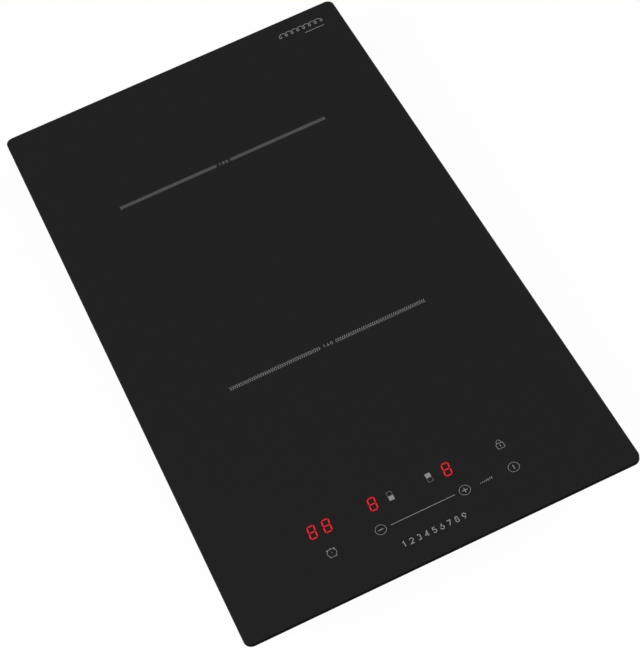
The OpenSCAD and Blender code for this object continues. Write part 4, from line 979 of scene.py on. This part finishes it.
class COOKTOP_OT_print_keys(bpy.types.Operator):
    """Print the signs of the touch keys: minus, plus, power, timer and lock"""

    bl_idname = "cooktop.print_keys"
    bl_label = "Touch keys"

    def execute(self, context):
        s = context.scene.cooktop_print
        row = KEY_ROW
        arm, bar = s.sign_arm, s.sign_line
        x = -s.key_offset
        print_piece("minus_key", [
            ring((x, row), s.ring_radius, s.ring_line),
            ([(x - arm, row), (x + arm, row)], bar),
        ])
        x = s.key_offset
        print_piece("plus_key", [
            ring((x, row), s.ring_radius, s.ring_line),
            ([(x - arm, row), (x + arm, row)], bar),
            ([(x, row + bar / 2), (x, row + arm)], bar),
            ([(x, row - arm), (x, row - bar / 2)], bar),
        ])
        x = POWER_X
        print_piece("power_key", [
            ring((x, row), s.ring_radius, s.ring_line),
            ([(x, row - arm), (x, row + arm)], bar),
        ])
        self.timer_key(s, (TIMER_LOW.x + TIMER_HIGH.x) / 2, row)
        self.lock_key(s, x, DISPLAY_ROW)
        return {"FINISHED"}

    def timer_key(self, s, x, y):
        """An alarm clock: a ring, two bells with a button between them, two feet and the hands."""
        face, centre = 3.25 * MM, np.array([x, y - 0.1 * MM])
        strokes = [ring(centre, face, s.picture_line)]
        # bells and feet stand out from the ring: angles, inner end, outer end, width
        for turns, inner, outer, width in (
            ((48, 132), 0.3 * MM, 0.95 * MM, 1.2 * MM),
            ((-56, -124), 0.2 * MM, 0.8 * MM, 0.5 * MM),
        ):
            for way in arc((0, 0), 1, *turns, 2):
                strokes.append(([centre + way * (face + inner), centre + way * (face + outer)], width))
        button, above = 0.5 * MM, face + 0.35 * MM
        strokes.append(([centre + (-button, above), centre + (button, above)], 0.4 * MM))
        minute, hour, hand = 1.3 * MM, 0.8 * MM, 0.16 * MM
        strokes.append(([centre + (0, minute), centre, centre + (hour, 0)], hand))
        print_piece("timer_key", strokes)

    def lock_key(self, s, x, y):
        """A padlock: a rounded body, its shackle and a keyhole."""
        width, height, corner = 5.3 * MM, 4.5 * MM, 1.0 * MM
        base = y - 1.2 * MM
        in_x, in_y = width / 2 - corner, height / 2 - corner
        outline = np.vstack([
            arc((x + sx * in_x, base + sy * in_y), corner, start, start + 90, 5)
            for sx, sy, start in ((1, 1, 0), (-1, 1, 90), (-1, -1, 180), (1, -1, 270))
        ])
        top, bow, leg = base + height / 2 + 0.2 * MM, 1.6 * MM, 0.8 * MM
        shackle = np.vstack([[(x + bow, top)], arc((x, top + leg), bow, 0, 180, 12), [(x - bow, top)]])
        slot, neck = 0.9 * MM, base + 0.1 * MM
        print_piece("lock_key", [
            (outline, s.picture_line, True),
            (shackle, s.picture_line),
            ([(x, base - slot), (x, neck)], s.picture_line),
            ([(x, neck), (x, base + slot)], 2 * s.picture_line),
        ])


class COOKTOP_OT_print_slider(bpy.types.Operator):
    """Print the slider's line, the level numbers below it and the small marks beside it"""

    bl_idname = "cooktop.print_slider"
    bl_label = "Slider and numbers"

    def execute(self, context):
        s = context.scene.cooktop_print
        row = KEY_ROW
        print_piece("slider_line", [([(-s.slider_half, row), (s.slider_half, row)], s.slider_line)])
        # the nine numbers reach a little less far than the slider's line
        centre = (0.0, FRONT_EDGE + s.number_row)
        pitch = 2 * s.slider_half / 8.6
        numbers = figures("123456789", centre, s.number_height, pitch, s.number_line)
        print_piece("level_numbers", numbers)
        # full power is shown by bars that rise to the right
        foot, lowest, rise = row - 0.9 * MM, 0.7 * MM, 0.2 * MM
        bars = []
        for i in range(7):
            x = s.key_offset + s.power_gap + i * s.power_pitch
            bars.append(([(x, foot), (x, foot + lowest + rise * i)], s.power_line))
        print_piece("full_power_mark", bars)
        return {"FINISHED"}


class COOKTOP_OT_print_zone_signs(bpy.types.Operator):
    """Print the pair of squares beside each zone's digit, with that zone's square filled"""

    bl_idname = "cooktop.print_zone_signs"
    bl_label = "Zone signs"

    def execute(self, context):
        s = context.scene.cooktop_print
        side, thin = s.square_side, s.square_line
        for name, x, filled in (("front_zone_sign", -LAMP_X, -1), ("rear_zone_sign", LAMP_X, 1)):
            full = square((x, DISPLAY_ROW + filled * side / 2), side, None)
            bare = square((x, DISPLAY_ROW - filled * (side - thin) / 2), side, thin)
            print_piece(name, [full, bare])
        return {"FINISHED"}


class COOKTOP_OT_print_coil_mark(bpy.types.Operator):
    """Print a row of coil loops in the rear right corner, with a short line under it"""

    bl_idname = "cooktop.print_coil_mark"
    bl_label = "Coil mark"

    def execute(self, context):
        """The loops are a point that goes round while it moves on by a pitch a turn."""
        s = context.scene.cooktop_print
        centre = Vector((GLASS_HIGH.x - 34.8 * MM, GLASS_HIGH.y - 17.5 * MM))
        loops, slim = 7, 0.9
        t = np.linspace(-math.pi / 2, 2 * math.pi * loops + math.pi / 2, 24 * loops)
        onward = s.loop_pitch * (t / (2 * math.pi) - loops / 2)
        x = centre.x + onward - s.loop_radius * slim * np.sin(t)
        y = centre.y - s.loop_radius * np.cos(t)
        under, start, end = centre.y - 7.0 * MM, centre.x + 1.2 * MM, centre.x + 18.4 * MM
        print_piece("coil_mark", [
            (np.stack([x, y], axis=1), s.loop_line),
            ([(start, under), (end, under)], s.loop_line),
        ])
        return {"FINISHED"}


class COOKTOP_OT_light_digits(bpy.types.Operator):
    """Light the two timer digits and one digit for each zone"""

    bl_idname = "cooktop.light_digits"
    bl_label = "Lit digits"

    def execute(self, context):
        settings = context.scene.cooktop_display
        body = (TIMER_HIGH.x - TIMER_LOW.x) / 2
        middle = (TIMER_LOW.x + TIMER_HIGH.x) / 2
        material, halo = lit_segment(settings), red_glow(settings)
        places = {
            "timer_tens": middle - body / 2,
            "timer_units": middle + body / 2,
            "front_zone_level": ZONE_LOW.x + body / 2,
            "rear_zone_level": ZONE_HIGH.x - body / 2,
        }
        for name, x in places.items():
            shape, core = seven_segments(settings, (x, DISPLAY_ROW))
            piece = add_piece(f"{name}_digit", shape, material)
            layer = piece.data.attributes.new("core", "FLOAT", "POINT")
            layer.data.foreach_set("value", np.array(core, np.float32))
            shape, _ = seven_segments(settings, (x, DISPLAY_ROW), glow=True)
            add_piece(f"{name}_glow", shape, halo)
        return {"FINISHED"}


class COOKTOP_OT_cut_screw_threads(bpy.types.Operator):
    """Make the four clamp screws with a hexagon socket and a cut thread"""

    bl_idname = "cooktop.cut_screw_threads"
    bl_label = "Clamp screws"

    def execute(self, context):
        s = context.scene.cooktop_screw
        zinc = bpy.data.materials["zinc_plated_steel"]
        for corner in CORNERS:
            node = f"clamp_screw_{corner}"
            screw = self.shape(s, *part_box(node))
            piece = add_piece(f"threaded_screw_{corner}", screw, zinc, body=node)
            piece.data.set_sharp_from_angle(angle=math.radians(35))
            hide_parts(node)
        return {"FINISHED"}

    def shape(self, s, low, high):
        """Rings of points up the screw, from the floor of its socket to its tip.

        The radius is that of a hexagon in the socket, then of the head's rounded rim, and along the
        shank the outside radius less the thread's depth times a triangle wave of height over pitch
        minus the angle as a share of a turn. The thread fades in and out over one pitch.
        """
        columns = 36
        angle = np.arange(columns) * 2 * math.pi / columns
        circle = np.ones(columns)
        sixth = (angle + math.pi / 6) % (math.pi / 3) - math.pi / 6
        hexagon = s.socket / 2 / np.cos(sixth)
        head, end = (high.x - low.x) / 2, high.z - low.z
        rings = [(hexagon * 0.2, s.socket_depth), (hexagon, s.socket_depth)]
        rings += [(hexagon, 0.1 * MM), (hexagon * 1.06, 0.0)]
        for a in np.radians(np.linspace(10, 90, 6)):
            rings.append(((head - s.rim * (1 - math.sin(a))) * circle, 0.8 * s.rim * (1 - math.cos(a))))
        rings.append((head * circle, s.head - s.break_edge))
        rings.append(((head - s.break_edge) * circle, s.head))
        for z in np.arange(s.head, end, s.pitch / s.steps):
            turn = (z / s.pitch - angle / (2 * math.pi)) % 1
            fade = min(1.0, (z - s.head) / s.pitch, (end - z) / s.pitch)
            cut = s.depth * np.abs(2 * turn - 1) * fade + s.depth * 0.3 * (1 - fade)
            taper = s.tip_taper * max(0.0, 1 - (end - z) / s.tip)
            rings.append((s.shank - cut - taper, z))
        rings.append(((s.shank - 0.9 * MM) * circle, end))
        centre = (low + high) / 2
        ways = np.stack([np.cos(angle), np.sin(angle)], axis=1)
        rows = [
            np.column_stack([(centre.x, centre.y) + ways * r[:, None], np.full(columns, low.z + z)])
            for r, z in rings
        ]
        return swept(np.stack(rows))


class COOKTOP_OT_set_stage(bpy.types.Operator):
    """Lay the floor, light the studio and set the camera"""

    bl_idname = "cooktop.set_stage"
    bl_label = "Studio"

    def execute(self, context):
        settings = context.scene.cooktop_stage
        context.scene.view_settings.view_transform = "Standard"
        self.floor(settings)
        self.surroundings(context.scene, settings)
        self.lamps()
        self.camera(context.scene, settings)
        return {"FINISHED"}

    def floor(self, settings):
        """A round pale floor under the cooktop: rings of points at growing radii, and a middle face."""
        radius = np.array([0.05, 0.5, 2.0, 8.0, 40.0])[:, None]  # in metres
        rings, spokes = len(radius), 48
        a = np.linspace(0, 2 * math.pi, spokes, endpoint=False)[None, :]
        flat = np.stack([radius * np.cos(a), radius * np.sin(a), np.zeros((rings, spokes))], axis=-1)
        # the quads are turned over, so that they face up as the middle does
        faces = grid_faces(rings, spokes)[:, ::-1].tolist() + [list(range(spokes))]
        mesh = bpy.data.meshes.new("floor")
        mesh.from_pydata(flat.reshape(-1, 3).tolist(), [], faces)
        floor = bpy.data.objects.new("floor", mesh)
        bpy.context.scene.collection.objects.link(floor)
        mesh.materials.append(self.floor_material(settings))

    def floor_material(self, settings):
        """Pale matt board, part plain white and part lit, so that it is white and still takes a shadow.

        The plain white part shows to camera, mirror and glass rays alone.
        """
        material, tree, shader = plain_finish("studio_board", {
            "Base Color": (*settings.floor, 1), "Roughness": 0.9, "Specular IOR Level": 0.0,
        })
        path = add_node(tree, "ShaderNodeLightPath").outputs
        seen = add_node(
            tree, "ShaderNodeMath", {"operation": "ADD"},
            {0: path["Is Camera Ray"], 1: path["Is Glossy Ray"]},
        )
        seen = add_node(
            tree, "ShaderNodeMath", {"operation": "ADD", "use_clamp": True},
            {0: seen.outputs[0], 1: path["Is Transmission Ray"]},
        )
        amount = add_node(
            tree, "ShaderNodeMath", {"operation": "MULTIPLY", 1: settings.shine_through},
            {0: seen.outputs[0]},
        )
        white = add_node(tree, "ShaderNodeEmission", {"Strength": 1.0})
        mixed = add_node(tree, "ShaderNodeMixShader",
                         links={0: amount.outputs[0], 1: shader.outputs[0], 2: white.outputs[0]})
        tree.links.new(mixed.outputs[0], tree.nodes["Material Output"].inputs["Surface"])
        return material

    def surroundings(self, scene, settings):
        """A studio that is white round the horizon and darker overhead, by each direction's height."""
        world = scene.world or bpy.data.worlds.new("studio")
        scene.world = world
        world.use_nodes = True
        tree = world.node_tree
        way = add_node(tree, "ShaderNodeTexCoord")
        height = add_node(tree, "ShaderNodeSeparateXYZ", links={0: way.outputs["Generated"]}).outputs["Z"]
        strength = add_node(
            tree, "ShaderNodeMapRange",
            {"From Min": 0.16, "From Max": 0.6, "To Min": settings.horizon, "To Max": settings.zenith},
            {"Value": height},
        )
        background = set_up(tree.nodes["Background"], {"Color": (1, 1, 1, 1)})
        tree.links.new(strength.outputs[0], background.inputs["Strength"])

    def lamps(self):
        """Three soft boxes, to the left, the right and above the front, out of the plate's mirror line."""
        # name, place, side in metres and power in watts
        lamps = (
            ("left_softbox", (-1.5, -0.5, 1.3), 1.2, 30.0),
            ("right_softbox", (1.5, -0.4, 1.1), 1.0, 17.0),
            ("front_softbox", (0.1, -1.5, 1.7), 1.0, 18.0),
        )
        for name, place, size, power in lamps:
            lamp = bpy.data.lights.new(name, "AREA")
            lamp.size, lamp.energy = size, power
            box = bpy.data.objects.new(name, lamp)
            bpy.context.scene.collection.objects.link(box)
            box.location = place
            box.rotation_euler = (Vector(place) * -1).to_track_quat("-Z", "Y").to_euler()

    def camera(self, scene, settings):
        """A long lens in front of the plate and above it, turned a little about its view."""
        middle = Vector((0, 0, GLASS_Z))
        camera = bpy.data.cameras.new("camera")
        camera.lens, camera.sensor_width = settings.lens, 36.0
        roll = Quaternion((0, 0, 1), settings.camera_roll)
        holder = bpy.data.objects.new("camera", camera)
        scene.collection.objects.link(holder)
        holder.location = middle + Vector(settings.camera_from)
        look = middle + Vector(settings.camera_to) - holder.location
        holder.rotation_mode = "QUATERNION"
        holder.rotation_quaternion = look.to_track_quat("-Z", "Y") @ roll
        scene.camera = holder


class COOKTOP_PT_panel(bpy.types.Panel):
    """The cooktop's pieces and studio, in the order in which they are made"""

    bl_idname = "COOKTOP_PT_panel"
    bl_label = "Induction cooktop"
    bl_space_type = "VIEW_3D"
    bl_region_type = "UI"
    bl_category = "Cooktop"

    def draw(self, context):
        for operator in OPERATORS:
            self.layout.operator(operator.bl_idname)
        for name in SETTINGS:
            group = getattr(context.scene, name)
            box = self.layout.box()
            for key in group.__annotations__:
                box.prop(group, key)


SETTINGS = {
    "cooktop_glass": GlassSettings,
    "cooktop_soft": SoftSettings,
    "cooktop_print": PrintSettings,
    "cooktop_display": DisplaySettings,
    "cooktop_screw": ScrewSettings,
    "cooktop_stage": StageSettings,
}
OPERATORS = (
    COOKTOP_OT_set_stage,
    COOKTOP_OT_dress_glass,
    COOKTOP_OT_dress_solids,
    COOKTOP_OT_lay_seal,
    COOKTOP_OT_lay_felt,
    COOKTOP_OT_cut_screw_threads,
    COOKTOP_OT_print_zones,
    COOKTOP_OT_print_zone_signs,
    COOKTOP_OT_print_keys,
    COOKTOP_OT_print_slider,
    COOKTOP_OT_print_coil_mark,
    COOKTOP_OT_light_digits,
)


def register():
    """Registers the settings, the operators and the panel."""
    for group in SETTINGS.values():
        bpy.utils.register_class(group)
    for name, group in SETTINGS.items():
        setattr(bpy.types.Scene, name, PointerProperty(type=group))
    for cls in (*OPERATORS, COOKTOP_PT_panel):
        bpy.utils.register_class(cls)


def unregister():
    """Takes away what register added, in the opposite order."""
    for cls in (COOKTOP_PT_panel, *reversed(OPERATORS)):
        bpy.utils.unregister_class(cls)
    for name, group in reversed(SETTINGS.items()):
        delattr(bpy.types.Scene, name)
        bpy.utils.unregister_class(group)


def main():
    register()
    for operator in OPERATORS:
        group, name = operator.bl_idname.split(".")
        getattr(getattr(bpy.ops, group), name)()


if __name__ == "__main__":
    main()
